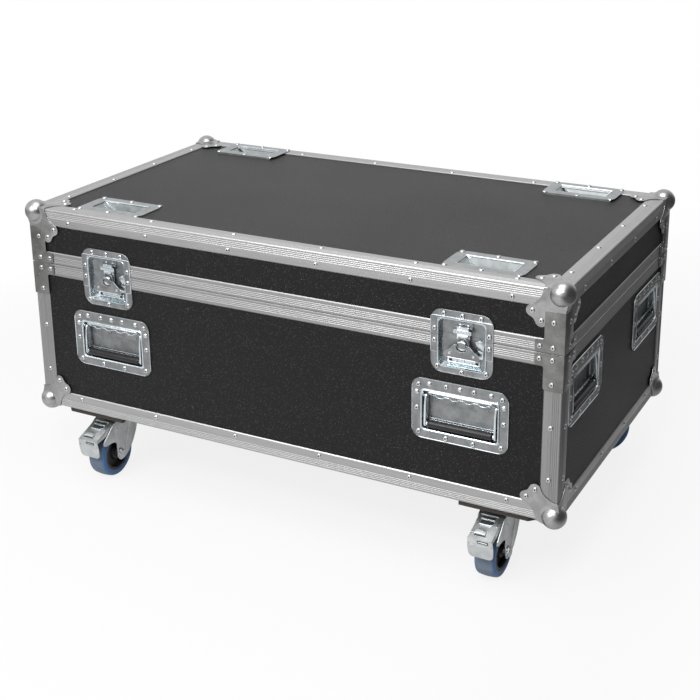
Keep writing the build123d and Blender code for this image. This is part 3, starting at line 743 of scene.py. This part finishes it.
class CaseBraces(bpy.types.Operator):
    """Corner braces whose arms strengthen the closing frames"""
    bl_idname = "flight_case.braces"
    bl_label = "Corner Braces"

    def execute(self, context):
        for body, (z0, z1, arm0, arm1) in BRACES.items():
            bm = bmesh.new()
            for basis, reach in ((((-1, 0, 0), (0, 1, 0)), 48.0), (((0, 1, 0), (-1, 0, 0)), 52.0)):
                new = added(bm, brace, z0, z1, arm0, arm1, reach)
                move(bm, new, corner_axes(Vector((HALF_X, -HALF_Y, 0)), *basis, (0, 0, 1)))
            wire(bm, [(HALF_X, -HALF_Y, z0), (HALF_X, -HALF_Y, z1)], FOLD, 14)
            bmesh.ops.recalc_face_normals(bm, faces=bm.faces)
            four_corners(bm)
            piece(body + "_braces_pressed", bm, body, ["brace"], [body + "_braces"])
        return {"FINISHED"}


def handle_dish(bm):
    """Pressed steel dish; its rolled rim, the lip of its opening and the walls below it take the brighter zinc, a
    painted highlight.
    """
    low = -2.5
    back = [(134, 69.6, 6, 17.2), (134, 69.6, 6, 1.85)]
    rolled = [(169, 107, 17.5, 1.75), (170, 108, 18, 1.4), (170, 108, 18, 0.4), (169.2, 107.2, 17.6, -0.3),
              (167.8, 105.8, 17, -0.2), (166.8, 104.8, 16.6, 0.5)]
    well = [(140, 75.6, 8.5, 0.6), (137.6, 73.2, 7.6, -0.5), (135, 70.6, 6.6, -0.9), (132.6, 68.2, 5.8, -0.2),
            (131.6, 67.2, 5.4, 1.6), (131.6, 67.2, 5.4, 3), (129, 64.6, 5, 13.2), (126.4, 62, 4, 15.4),
            (123, 58.6, 3, 16.0)]

    # Faces that take the brighter zinc: painted highlight.
    def shiny(at, normal):
        x, z = abs(at.x), abs(at.z - low)
        wall = x < 66.4 and z < 34.2 and 0.35 < at.y < 15.6
        lip = x < 69 and z < 37 and at.y < 0.5 and normal.y < 0.3
        return wall or lip or ((x > 83.2 or abs(at.z) > 52.2) and at.y < 0.45)

    tinted(bm, 1, shiny, stamped, [(*ring, 0, low) for ring in back] + rolled + [(*ring, 0, low) for ring in well])


def handle_fittings(bm):
    """Spring bar with curled ends, return spring, riveted back plate and the ledge over the grip, drawn as thin bright
    wires that are painted highlights.
    """
    wire(bm, [(-52, 7, 23.5), (-56.6, 1.6, 29.6), (56.6, 1.6, 29.6), (52, 7, 23.5)], 2.2, 12, 4)
    wave = []
    for index in range(9):
        z = 19.0 if index % 2 else 22.0
        wave += [(-55 + index * 12.5, 8.6, z), (-46 + index * 12.5, 8.6, z)]
    wire(bm, [*wave, (57, 9, 24)], 0.95, 8, 2)
    # The ledge's edges: thin wires and short dashes in the brighter zinc, painted highlights.
    for z in (-20.2, -23.4):
        wire(bm, [(-59, 11.5, z), (59, 11.5, z)], 0.6, 8)
    for index in range(10):
        x = -50 + index * 11.1
        wire(bm, [(x - 3.4, 11.5, -21.8), (x + 3.4, 11.5, -21.8)], 0.5, 6)

    def back_plate(bm):
        plate(bm, oblong(-56, 6, 56, 27), 15.0, 16.0, "xzy", 2, 0.4, 3)
        plate(bm, oblong(-60, -25, 60, -19.4), 11.8, 16.0, "xzy", 0.8, 0.6, 2)
        for x in (-46, -15.5, 15.5, 46):
            lathe(bm, [(0, 0), (3.2, 0), (2.8, 0.9), (1.3, 1.3), (1.0, 0.6), (0, 0.6)], (x, 15.2, 11.6), OUT, 14)

    painted(bm, 1, back_plate)


class CaseHandles(bpy.types.Operator):
    """Eight recessed handle dishes and the springs in them"""
    bl_idname = "flight_case.handles"
    bl_label = "Handle Dishes"

    def execute(self, context):
        places = [on_face(*handle) for handle in HANDLES]
        piece("handle_dishes_pressed", gathered([(handle_dish, places)]), "base", ["zinc", "bright"],
              ["handle_dishes"])
        piece("handle_springs", gathered([(handle_fittings, places)]), "base", ["bright", "zinc"], [])
        return {"FINISHED"}


def bail(bm):
    """Two pressed arms and a rod through a moulded rubber grip."""
    outline = [(PIVOT_Y - 4.6, PIVOT_Z + 4.6), (PIVOT_Y + 4.6, PIVOT_Z + 4.6), (PIVOT_Y + 4.2, PIVOT_Z - 12),
               (GRIP_Y + 5.6, GRIP_Z - 5.4), (GRIP_Y - 5.6, GRIP_Z - 5.4), (GRIP_Y - 4.4, PIVOT_Z - 12)]
    for side in (-1, 1):
        plate(bm, outline, side * 61.4 - 2.0, side * 61.4 + 2.0, "yzx", [4.4, 4.4, 6, 5, 5, 6], 1.2, 5)
        lathe(bm, [(0, 0), (3, 0), (3, 3.4), (2.4, 4.0), (0, 4.0)],
              (side * 63.0, PIVOT_Y, PIVOT_Z), (side, 0, 0), 16)
        lathe(bm, [(0, -4.2), (4, -3.4), (4, 1.2), (0, 2.0)], (side * 61, GRIP_Y, GRIP_Z), (side, 0, 0), 16)
    half_grip = [(0.0, 57.2), (5.0, 57.0), (6.2, 55.8), (6.7, 53.4), (6.4, 50.6), (6.6, 47.5), (6.75, 0.0)]
    painted(bm, 1, lathe, both_sides(half_grip), (0, GRIP_Y, GRIP_Z), (1, 0, 0), 28)


class CaseBails(bpy.types.Operator):
    """Sprung bail handles with rubber grips"""
    bl_idname = "flight_case.bails"
    bl_label = "Bail Handles"

    def execute(self, context):
        for (face, u, z), name in zip(HANDLES, BAILS):
            piece(name + "_sprung", placed(bail, on_face(face, u, z)), name, ["bright", "grip"], [name])
        return {"FINISHED"}


def is_rim(_, normal):
    """Test for the rounded rim of a plate that faces outwards, which takes a brighter finish as painted highlight."""
    return abs(normal.y) < 0.97


def latch_dish(bm):
    """The whole latch dish before it is cut at the parting line; z is zero there."""
    rim_z, well_z = -10.75, -12.5
    back = [(81.4, 8, 12.7), (81.4, 8, 1.95)]
    rolled = [(107.8, 19.6, 1.85), (108.5, 20, 1.5), (108.5, 20, 0.5), (107.4, 19.5, 0.0), (105.4, 18.6, 0.5)]
    well = [(86, 11, 0.6), (83.6, 10, -0.8), (81, 9, -0.5), (79.2, 8, 1.2), (79, 8, 2.4), (77, 7, 9.4),
            (74.6, 5, 11.2), (72, 4, 11.5)]

    # The walls of the well take the brighter zinc: painted highlight.
    def shiny(at, normal):
        walls = abs(at.x) < 42.6 and abs(at.z - well_z) < 42.6 and at.y < 11.3 and normal.y < 0.3
        return walls and not (at.y > 0.45 and normal.y < -0.9)

    tinted(bm, 1, shiny, stamped, [(size, size, radius, y, 0, z) for z, rings in
                                   ((well_z, back), (rim_z, rolled), (well_z, well)) for size, radius, y in rings])
    bridge = [(-54.2, -31), (-54.2, 32.8), (54.2, 32.8), (54.2, -31), (40.6, -31), (40.6, 28.4), (-40.6, 28.4),
              (-40.6, -31)]
    # The bridge's outward rim takes the brighter zinc: painted highlight.
    tinted(bm, 1, is_rim, plate, bridge, -1.5, 1.0, "xzy", [2, 4, 4, 2, 1, 4, 4, 1], 1.3, 3)


def half(bm, height, keep):
    """Cuts everything at a height and keeps the side that keep, 1 up or -1 down, points to."""
    cut(bm, list(bm.faces), (0, 0, height), (0, 0, -keep))
    bmesh.ops.recalc_face_normals(bm, faces=bm.faces)


def latch_lower(bm):
    """Lower dish with its slotted channel and pressed plate."""
    latch_dish(bm)
    half(bm, -0.1, -1)

    def channel(bm):
        plate(bm, oblong(-28, -49, 28, -39.5), 9.6, 11.5, "xzy", 2, 0.6, 3)
        for z in (-40.8, -47.6):
            wire(bm, [(-26.5, 8.9, z), (26.5, 8.9, z)], 1.3, 10)
        for x in (-13, 0, 13):
            lathe(bm, [(0, 0), (2.4, 0), (2.0, 1.0), (0, 1.3)], (x, 9.7, -44.2), OUT, 14)
        plate(bm, [(20, -19), (20, -7), (28.5, -1.6), (35.5, -12), (35, -20)], 7.4, 11.5, "xzy", 1.0, 1.2, 3)
        plate(bm, [(22, -36), (34, -34), (34, -22), (24, -21)], 8.6, 11.5, "xzy", 1.5, 1.0, 3)

    painted(bm, 1, channel)
    for x in (-23, 23):
        painted(bm, 2, lathe, [(0, 0), (2.9, 0), (2.6, 0.8), (0, 1.0)], (x, 9.5, -44.2), OUT, 14)


def hook_bar(bm):
    """Ridged bar across the head of the hook, and the round link between it and the drum."""
    plate(bm, oblong(-15.5, 5, 15.5, 11.6), 1.7, 3.4, "xzy", 1.2, 0.5, 3)
    for index in range(6):
        x = -12.5 + index * 5
        wire(bm, [(x, 2.0, 6.2), (x, 2.0, 10.4)], 0.8, 8)
    wire(bm, [(-7, 5.2, 1.8), (9, 5.2, 1.8)], 3.8, 20)


def latch_upper(bm):
    """Upper dish with the keeper plate and its two rivets."""
    latch_dish(bm)
    half(bm, 0.3, 1)
    plate(bm, oblong(-15.5, 12, 15.5, 16), 7.0, 11.5, "xzy", 1.2, 0.8, 3)
    plate(bm, oblong(-15.5, 15, 15.5, 22.5), 10.2, 11.5, "xzy", 1.5, 0.5, 3)
    for x in (-7, 7):
        painted(bm, 1, lathe, [(0, 0), (2.4, 0), (2.0, 0.9), (0, 1.3)], (x, 10.3, 18.6), OUT, 12)


def drum(bm):
    """Turning disc with a raised rim, a flat boss and a curved bar in the brighter zinc, a painted highlight, on its
    spindle and two lugs.
    """
    centre = (0, 0, DRUM_Z)
    lathe(bm, [(0, -12.7), (4, -12.7), (4, -5.6), (11.2, -5.6), (11.8, -5.0), (11.8, -2.4), (11.3, -1.8),
               (10.2, -1.7), (9.4, -2.3), (8.2, -2.5), (7.6, -2.9), (0, -2.9)], centre, OUT, 40)
    lathe(bm, [(0, -3.2), (6.6, -3.2), (6.7, -1.9), (6.0, -1.2), (0, -1.0)], centre, OUT, 32)
    # The curved bar in the brighter zinc stands for the highlight on the drum's bulge: painted highlight.
    painted(bm, 1, wire, [(-6.4, -0.4, DRUM_Z + 3), (0, -0.9, DRUM_Z + 5.2), (6.4, -0.4, DRUM_Z + 3)], 1.5, 12, 3)
    for side in (-1, 1):
        plate(bm, oblong(-1.2, -16.2, 2.4, -11.8), side * 9.1 - 0.9, side * 9.1 + 0.9, "yzx", 0.9, 0.3, 3)
        wire(bm, [(side * 8.4, 0.2, HINGE_Z), (side * 13.0, 0.2, HINGE_Z)], 0.8, 8)


def wing(bm):
    """Folding butterfly wing round the disc, with two rivets and a rolled lower edge; its outward rims and the rolled
    edge take the brighter rivet metal, a painted highlight.
    """
    right = [(12.9, -12.6), (20, -20.5), (31, -29.2), (30.4, -34), (27.6, -37)]
    notch = [(-10.4, -12.6)] + arc(0, DRUM_Z, 12.4, 214, 326, 8) + [(10.4, -12.6)]
    outline = notch + right + [(-a, b) for a, b in reversed(right)]
    radii = [0] * len(notch) + [0, 3, 2, 1.5, 1.5, 1.5, 1.5, 2, 3, 0]
    # The outward rims and the rolled lower edge take the brighter rivet metal: painted highlight.
    tinted(bm, 1, is_rim, plate, outline, -0.5, 1.0, "xzy", radii, 0.45, 3)
    for side in (-1, 1):
        wire(bm, [(side * 10.5, 0.2, HINGE_Z), (side * 12.9, 0.2, HINGE_Z)], 1.55, 12)
    painted(bm, 1, wire, [(-24, -0.4, -36), (24, -0.4, -36)], 0.8, 8)
    for x in (-20.5, 20.5):
        painted(bm, 1, lathe, [(0, 0), (2.7, 0), (2.3, 0.7), (0.8, 1.0), (0, 1.0)], (x, -0.4, -29), OUT, 14)


class CaseLatchDishes(bpy.types.Operator):
    """Latch dishes, each split between the base and the lid"""
    bl_idname = "flight_case.latch_dishes"
    bl_label = "Latch Dishes"

    def execute(self, context):
        places = [on_face(face, u, PARTING) for face, u, _ in LATCHES]
        for make, body, node in ((latch_lower, "base", "latch_dishes_lower"),
                                 (latch_upper, "lid", "latch_dishes_upper")):
            piece(node + "_pressed", gathered([(make, places)]), body, ["zinc", "bright", "hole"], [node])
        return {"FINISHED"}


class CaseLatchWorks(bpy.types.Operator):
    """Turning drums, folding wings and the bars on the fixed hooks"""
    bl_idname = "flight_case.latch_works"
    bl_label = "Latch Drums and Wings"

    def execute(self, context):
        for face, u, tag in LATCHES:
            spot = on_face(face, u, PARTING)
            drum_node, wing_node = "latch_drum_" + tag, "latch_wing_" + tag
            piece("latch_bar_" + tag, placed(hook_bar, spot), "base", ["bright"], ())
            piece(drum_node + "_turned", placed(drum, spot), drum_node, ["zinc", "bright"], [drum_node])
            piece(wing_node + "_folding", placed(wing, spot), wing_node, ["zinc", "rivet"], [wing_node])
        return {"FINISHED"}


def dish_lip(bm):
    """Rolled lip round the wheel opening of a stacking dish and the curved crease below its far side, in the brighter
    zinc as painted highlight; x and y lie in the lid's top.
    """
    corners = oblong(-50, -21.6, 50, 21.6)
    for ((x0, y0), (x1, y1)), radius in zip(zip(corners, corners[1:] + corners[:1]), (0.6, 0.9, 1.9, 0.9)):
        wire(bm, [(x0, y0, -0.3), (x1, y1, -0.3)], radius, 10)
    wire(bm, [(x, 20.8, z) for x, z in arc(0.0, 59.0, 77.0, -129, -51, 13)], 1.2, 10)


class CaseStackDishes(bpy.types.Operator):
    """Rolled lips of the four dishes in the lid that take another case's castors, in the brighter zinc as painted
    highlight
    """
    bl_idname = "flight_case.stack_dishes"
    bl_label = "Stacking Dishes"

    def execute(self, context):
        places = [Matrix.Translation((x, y, BODY_TOP - 0.7 if y < 0 else BODY_TOP + 1.3)) for x, y in STACK_DISHES]
        piece("stack_dish_lips", gathered([(dish_lip, places)]), "lid", ["bright"], ())
        return {"FINISHED"}


def fork(bm, braked=False):
    """Pressed fork: swivel crown, two broad legs with a round fold, axle and its nuts."""
    for side in (-1, 1):
        leg, skin, out = side * LEG_X, side * LEG_FACE, (side, 0, 0)
        plate(bm, LEG, leg - 1.25, leg + 1.25, "yzx", [3, 1, 3, 4, 3, 4, 4, 2, 2, 1.5, 2.5, 3, 4, 6, 6, 4, 3],
              0.6, 4)
        if braked:
            plate(bm, CHEEK, leg - 1.2, leg + 1.2, "yzx", [0, 3, 3, 2, 3, 4, 3, 0], 0.6, 4)
        fold = added(bm, wire, [(0, 4, 117.5), (0, 3, 100), (0, -16, 47)], 8.0, 20, 12)
        move(bm, fold, Matrix.Translation((skin, 0, 0)) @ Matrix.Scale(0.28, 4, (1, 0, 0)))
        lathe(bm, [(0, 0), (2.3, 0), (1.9, 0.8), (0, 1.1)], (skin, -42, 99), out, 12)
        lathe(bm, [(0, 0), (10.2, 0), (10.2, 1.4), (9.4, 1.9), (0, 1.9)], (skin, -TRAIL, AXLE_Z), out, 24)
        lathe(bm, [(0, 1.6), (8.2, 1.6), (9.0, 2.4), (9.0, 5.0), (8.0, 6.0), (4.9, 6.0), (0, 6.0)],
              (skin, -TRAIL, AXLE_Z), out, 6)
    plate(bm, oblong(-21.6, -40, 21.6, 26), 115.8, 118.8, "xyz", [3, 3, 9, 9], 0.5, 5)
    lathe(bm, [(6.1, 108), (20.6, 108), (21.5, 109), (21.5, 116.6), (19.2, 118.8), (6.1, 118.8), (6.1, 108)],
          (0, 0, 0), (0, 0, 1), 40)
    lathe(bm, [(0, -23.8), (5, -23.8), (5, 23.8), (0, 23.8)], (0, -TRAIL, AXLE_Z), (1, 0, 0), 20)


def from_axle(at):
    """Distance of a point from the castor's axle."""
    return math.hypot(at.y + TRAIL, at.z - AXLE_Z)


def rim(bm):
    """Moulded wheel centre with a stepped hub and a thin raised ring."""
    half_rim = [(5.06, 18.5), (8.6, 18.5), (9.4, 17.6), (9.4, 15.4), (12.0, 14.6), (12.6, 11.0), (14.2, 8.0),
                (16.0, 6.9), (25.6, 6.9), (27.6, 8.2), (28.4, 13.0), (29.4, 16.6), (30.6, 17.4), (32.4, 17.4),
                (33.0, 16.8), (34.0, 16.8)]
    tinted(bm, 1, lambda at, normal: abs(at.x) > 16.2 and from_axle(at) > 29.5,
           lathe, both_sides(half_rim) + [half_rim[0]], (0, -TRAIL, AXLE_Z), (1, 0, 0), 48)


def tyre(bm):
    """Elastic tread with rounded shoulders and a bead at the rim."""
    half_tyre = [(34.05, 16.6), (35.2, 17.8), (37.0, 18.0), (42.2, 18.0), (44.3, 17.0), (45.7, 14.6), (46.4, 10.0),
                 (46.85, 5.0), (47.0, 0.0)]
    tinted(bm, 1, lambda at, normal: abs(at.x) < 15.4 and from_axle(at) > 42,
           lathe, both_sides(half_tyre) + [half_tyre[0]], (0, -TRAIL, AXLE_Z), (1, 0, 0), 64)


def pedal(bm):
    """Brake pedal: sloped top with its raised loop in the brighter zinc as painted highlight, tab and slots as thin
    dark sheets of painted shade, cheeks, and a rounded foot flap with a bright line of painted highlight and dark
    slots of painted shade.
    """
    plate(bm, [(-44, 118.0), (-52, 115.6), (-104, 97.4), (-103.3, 95.6), (-51.5, 113.8), (-44, 116.2)],
          -20.9, 20.9, "yzx", 0.0, 0.4)

    def tab(bm):
        plate(bm, [(-14, -45.4), (4.6, -45.4), (6.4, -41), (3.4, -33), (-13.6, -33)], 0.4, 2.0, "xyz", 1.2, 0.6, 3)
        plate(bm, [(-19.6, -44.5), (-13, -44.5), (-13, -40), (-18, -41)], 0.2, 1.4, "xyz", 0.8, 0.4, 3)
        wire(bm, [(-18, -1.5, 0.3), (15.6, -1.5, 0.3), (16.6, -22, 0.3)], 0.8, 8, 4)

    def raised_loop(bm):
        plate(bm, oblong(-15, -11.6, 10.4, -5.6), -0.3, 1.8, "xyz", 1.6, 0.8, 3)
        wire(bm, [(-15.5, -17.4, 0.6), (-13, -23.6, 0.9), (8.6, -23.6, 0.9), (12, -17, 0.6)], 1.2, 10, 2.5)

    def slots(bm):
        plate(bm, oblong(-13, -20.6, 10, -12.8), -0.3, 0.5, "xyz", 1.2, 0.2, 3)
        plate(bm, oblong(-14, -47.6, 8, -46.2), -0.3, 0.5, "xyz", 0.5, 0.1, 2)

    def flap(bm):
        plate(bm, [(-22, 0), (22, 0), (23, -18), (21.6, -38.6), (-21.6, -38.6), (-23, -18)], 0.1, 2.1, "xzy",
              [2, 2, 0, 8, 8, 0], 0.8, 6)
        wire(bm, [(-20.5, 0.3, -13.8), (20.5, 0.3, -13.8)], 0.5, 8)

    def flap_line(bm):
        wire(bm, [(-3.4, -0.2, -6), (13, -0.2, -6)], 0.7, 8)

    def flap_slots(bm):
        plate(bm, oblong(-5, -8.6, 14.5, -3.4), -0.2, 0.6, "xzy", 1.4, 0.1, 3)
        for x in (-19.6, 19.6):
            lathe(bm, [(0, 0), (1.2, 0), (0, 0.5)], (x, 0.2, -12.4), OUT, 10)

    slope = Matrix.Translation((0, -52, 115.7)) @ Matrix.Rotation(math.atan2(18.2, 52.0), 4, "X")
    front = Matrix.Translation((0, -104, 97.6)) @ Matrix.Rotation(math.atan2(6, 38.6), 4, "X")
    # Each set's first form takes the castor steel, its second the brighter zinc (painted highlight) and its third the
    # dark finish (painted shade where the slots are).
    for place, makes in ((slope, (tab, raised_loop, slots)), (front, (flap, flap_line, flap_slots))):
        for index, make in enumerate(makes):
            move(bm, added(bm, painted, index, make), place)
    for side, x0 in ((-1, -20.9), (1, 19.4)):
        plate(bm, [(-44, 117), (-52, 115), (-104, 97), (-102, 92), (-60, 98), (-44, 98)], x0, x0 + 1.5, "yzx",
              [0, 0, 0, 2, 6, 0], 0.3, 3)
        lathe(bm, [(0, -2.1), (2.5, -2.1), (2.5, 2.1), (0, 2.1)], (side * 21.4, -48, 104), (1, 0, 0), 14)


class CaseCastors(bpy.types.Operator):
    """Swivel castors: forks, wheels, tyres and the front pair's brake pedals"""
    bl_idname = "flight_case.castors"
    bl_label = "Castors"

    def execute(self, context):
        for x, y, turn, tag in CASTORS:
            spot = Matrix.Translation((x, y, 0)) @ Matrix.Rotation(math.radians(turn), 4, "Z")
            braked = turn == 0
            units = [("castor_fork_", partial(fork, braked=braked), "castor_fork_", ["castor"], "zinc_steel"),
                     ("wheel_rim_", rim, "wheel_", ["rim", "rim_edge"], "black_plastic"),
                     ("wheel_tyre_", tyre, "wheel_", ["tyre", "tread"], "blue_rubber")]
            if braked:
                units.append(("brake_pedal_", pedal, "brake_pedal_", ["castor", "bright", "hole"], "zinc_steel"))
            for node, make, body, finishes, slot_name in units:
                piece(node + tag + "_detailed", placed(make, spot), body + tag, finishes, [node + tag])
        return {"FINISHED"}


def rivet_places():
    """Every rivet as (matrix with y inward, kind), for the base and for the lid."""
    base, lid = [], []

    def put(rows, face, u, z, y=0.0, kind="pop"):
        rows.append((on_face(face, u, z) @ Matrix.Translation((0, y, 0)), kind))

    def on_top(x, y, z=0.0):
        lid.append((Matrix.Translation((x, y, BODY_TOP + z)) @ Matrix.Rotation(math.radians(-90), 4, "X"), "pop"))

    for face, u, z in HANDLES:
        for du, dz in pairs([(73, 40.7), (24.3, 44.4), (76, -1), (72.5, -43), (24, -46.8)]):
            put(base, face, u + du, z + dz, FLANGE)
        for du, dz in pairs([(0, 44.2), (54, 44.2), (76, 27)]):
            put(base, face, u + du, z + dz, FLANGE, "domed")
    for face, u, _ in LATCHES:
        for rows, spots, y in ((base, [(47, -10.5)], -LEAF), (base, [(42.5, -55.4), (0, -60)], FLANGE),
                               (lid, [(47, 10)], -LEAF), (lid, [(32, 36.5), (0, 36.5)], FLANGE)):
            for du, dz in pairs(spots):
                put(rows, face, u + du, PARTING + dz, y)
    for face, u in (("front", -175.0), ("back", 175.0)):
        for z in (60, 250):
            put(base, face, u, BODY_LOW + z, SKIN, "black")
    for face, reach, row in (("front", HALF_X, LONG_ROW), ("back", HALF_X, LONG_ROW),
                             ("right", HALF_Y, END_ROW), ("left", HALF_Y, END_ROW)):
        for side in (-1, 1):
            for a, b in LOBES:
                put(base, face, side * (reach - a), BODY_LOW + b, -LEAF)
                put(lid, face, side * (reach - a), BODY_TOP - b, -LEAF)
            for a, z in ((18.5, BODY_LOW + 239), (18.5, PARTING - 10), (40, PARTING - 10)):
                put(base, face, side * (reach - a), z, -LEAF)
            for a, z in ((18.5, PARTING + 51.5), (18.5, PARTING + 10.6), (40, PARTING + 10.6)):
                put(lid, face, side * (reach - a), z, -LEAF)
            for z in (75, 165):
                put(base, face, side * (reach - 18), BODY_LOW + z)
        for u in row:
            put(base, face, u, BODY_LOW + ROW_IN)
            put(lid, face, u, BODY_TOP - ROW_IN)
    for x in LONG_ROW:
        on_top(x, ROW_IN - HALF_Y)
    for x in LONG_ROW[1:-1]:
        on_top(x, HALF_Y - ROW_IN)
    for y in END_ROW:
        for x in (ROW_IN - HALF_X, HALF_X - ROW_IN):
            on_top(x, y)
    for sx, sy in oblong(-1, -1, 1, 1):
        for a, b in LOBES:
            on_top(sx * (HALF_X - a), sy * (HALF_Y - b), LEAF)
    for x, y in STACK_DISHES:
        for dx, dy in pairs([(0, -36.4), (0, 36.4), (63.5, -36.4), (63.5, 36.4)]):
            on_top(x + dx, y + dy, -0.5 if y < 0 else 1.5)
    return base, lid


def rivet(bm, kind):
    """One rivet head on the face at y zero, its bore closed onto its shoulder and darkened as painted shade."""
    for index, profile in RIVETS[kind]:
        painted(bm, index, lathe, profile, (0, 0, 0), OUT, 10)
    bmesh.ops.remove_doubles(bm, verts=bm.verts, dist=MERGE)


class CaseRivets(bpy.types.Operator):
    """Pop rivets with open bores in painted shade, the domed rivets of the handles and the black ones through the
    panels
    """
    bl_idname = "flight_case.rivets"
    bl_label = "Rivets"

    def execute(self, context):
        for body, rows in zip(("base", "lid"), rivet_places()):
            forms = [(partial(rivet, kind=kind), [place for place, which in rows if which == kind])
                     for kind in RIVETS]
            piece(body + "_rivets_open", gathered(forms), body, ["rivet", "bore", "hole"], [body + "_rivets"])
        return {"FINISHED"}


def studio_floor(scene, colour):
    """A plain floor, white to the camera far from the case, that keeps the case's shadow; out of the camera's sight
    its colour darkens towards the right, and less to the left, as painted shade for the case's sides.
    """
    bm = bmesh.new()
    bmesh.ops.create_grid(bm, x_segments=1, y_segments=1, size=20.0)
    mesh = bpy.data.meshes.new("studio_floor")
    bm.to_mesh(mesh)
    bm.free()
    floor = bpy.data.objects.new("studio_floor", mesh)
    scene.collection.objects.link(floor)

    finish = Finish("studio_floor", {"Roughness": 0.9})
    across = finish.add("ShaderNodeSeparateXYZ", {}, {"Vector": finish.place}, "X")
    # The floor's colour darkens towards the right, and less to the left, out of the camera's sight: painted shade for
    # the case's sides.
    dim = (finish.ramp(across, 0.35, 1.0) + 0.55 * finish.ramp(-1.0 * across, 0.6, 1.6)).maths("MINIMUM", 1.0)
    finish.set({"Base Color": finish.mix(dim, (*colour, 1.0), tint(0.12, 0.12, 0.12))})
    glow = finish.add("ShaderNodeEmission", {}, {"Color": tint(1.0, 1.0, 1.0), "Strength": 1.0})
    seen = finish.add("ShaderNodeLightPath", {}, {}, "Is Camera Ray")
    reflected = finish.add("ShaderNodeLightPath", {}, {}, "Is Glossy Ray") * (1.0 - dim) * 0.3
    away = finish.add("ShaderNodeVectorMath", {"operation": "LENGTH"}, {0: finish.place}, "Value")
    far = (finish.ramp(away, 0.8, 2.2) + dim).maths("MINIMUM", 1.0)
    # The camera sees plain white with a little of the lit floor, and so the shadow, near the case.
    lit = Socket(finish.tree, finish.shader.outputs[0])
    mixed = finish.add("ShaderNodeMixShader", {}, {0: seen * (0.84 + 0.16 * far) + reflected, 1: lit, 2: glow})
    mixed.feed(finish.tree.nodes["Material Output"].inputs["Surface"])
    mesh.materials.append(finish.material)


def studio_world(scene):
    """White to the camera and through glass, dimmer as light, and darker to the right of the case."""
    world = bpy.data.worlds.new("studio")
    world.use_nodes = True
    scene.world = world
    sky = Graph(world.node_tree)
    way = sky.add("ShaderNodeTexCoord", {}, {}, "Generated")
    shade = sky.ramp(sky.add("ShaderNodeSeparateXYZ", {}, {"Vector": way}, "X"), 0.0, 0.8)
    glossy, clear, direct = (sky.add("ShaderNodeLightPath", {}, {}, ray) for ray in
                             ("Is Glossy Ray", "Is Transmission Ray", "Is Camera Ray"))
    seen = (direct + clear).maths("MINIMUM", 1.0)
    room = (AMBIENT + (REFLECTED - AMBIENT) * glossy) * (1.0 - 0.9 * shade)
    back = world.node_tree.nodes["Background"]
    back.inputs["Color"].default_value = tint(1.0, 1.0, 1.0)
    (room + seen * (1.0 - room)).feed(back.inputs["Strength"])


def studio_lamps(scene, look):
    """Square soft lights that all face the middle of the case."""
    for name, spot, size in LAMPS:
        lamp = bpy.data.lights.new(name, "AREA")
        lamp.size = size
        lamp.energy = getattr(look, name + "_power")
        lamp_object = bpy.data.objects.new(name, lamp)
        lamp_object.location = spot
        aim = Vector((0, 0, 0.3)) - Vector(spot)
        lamp_object.rotation_euler = aim.to_track_quat("-Z", "Y").to_euler()
        scene.collection.objects.link(lamp_object)


def photo_camera(scene):
    """The camera at the photograph's viewing angle."""
    camera = bpy.data.cameras.new("camera")
    camera.lens = CAMERA_LENS
    camera.shift_y = CAMERA_SHIFT
    camera_object = bpy.data.objects.new("camera", camera)
    az, el = math.radians(CAMERA_AZIMUTH), math.radians(CAMERA_ELEVATION)
    forward = Vector((-math.sin(az) * math.cos(el), math.cos(az) * math.cos(el), -math.sin(el)))
    camera_object.location = CAMERA_SPOT
    camera_object.rotation_euler = (forward.to_track_quat("-Z", "Y").to_matrix()
                                    @ Matrix.Rotation(math.radians(CAMERA_ROLL), 3, "Z")).to_euler()
    scene.collection.objects.link(camera_object)
    scene.camera = camera_object


class CaseStage(bpy.types.Operator):
    """Plain pale floor, soft studio light and the camera"""
    bl_idname = "flight_case.stage"
    bl_label = "Stage"

    def execute(self, context):
        scene = context.scene
        scene.view_settings.view_transform = "Standard"
        studio_floor(scene, scene.flight_case_stage.floor_colour)
        studio_world(scene)
        studio_lamps(scene, scene.flight_case_stage)
        photo_camera(scene)
        return {"FINISHED"}


OPERATORS = [CasePanels, CaseEdging, CaseClosingFrames, CaseBallCorners, CaseBraces, CaseHandles, CaseBails,
             CaseLatchDishes, CaseLatchWorks, CaseStackDishes, CaseCastors, CaseRivets, CaseStage]


class CasePanel(bpy.types.Panel):
    """The sizes, the colours and every operator, in the 3D view's sidebar"""
    bl_idname = "VIEW3D_PT_flight_case"
    bl_label = "Flight Case"
    bl_space_type = "VIEW_3D"
    bl_region_type = "UI"
    bl_category = "Flight Case"

    def draw(self, context):
        for name, group in GROUPS.items():
            for key in group.__annotations__:
                self.layout.prop(getattr(context.scene, name), key)
        for operator in OPERATORS:
            self.layout.operator(operator.bl_idname)


GROUPS = {"flight_case_looks": FlightCaseLooks, "flight_case_edging": FlightCaseEdging,
          "flight_case_stage": FlightCaseStage}


def register():
    for name, group in GROUPS.items():
        bpy.utils.register_class(group)
        setattr(bpy.types.Scene, name, bpy.props.PointerProperty(type=group))
    for operator in OPERATORS:
        bpy.utils.register_class(operator)
    bpy.utils.register_class(CasePanel)


def unregister():
    bpy.utils.unregister_class(CasePanel)
    for operator in reversed(OPERATORS):
        bpy.utils.unregister_class(operator)
    for name, group in GROUPS.items():
        delattr(bpy.types.Scene, name)
        bpy.utils.unregister_class(group)


def main():
    """Registers the classes and calls the operators in order."""
    register()
    for operator in OPERATORS:
        group, name = operator.bl_idname.split(".")
        getattr(getattr(bpy.ops, group), name)()


if __name__ == "__main__":
    main()
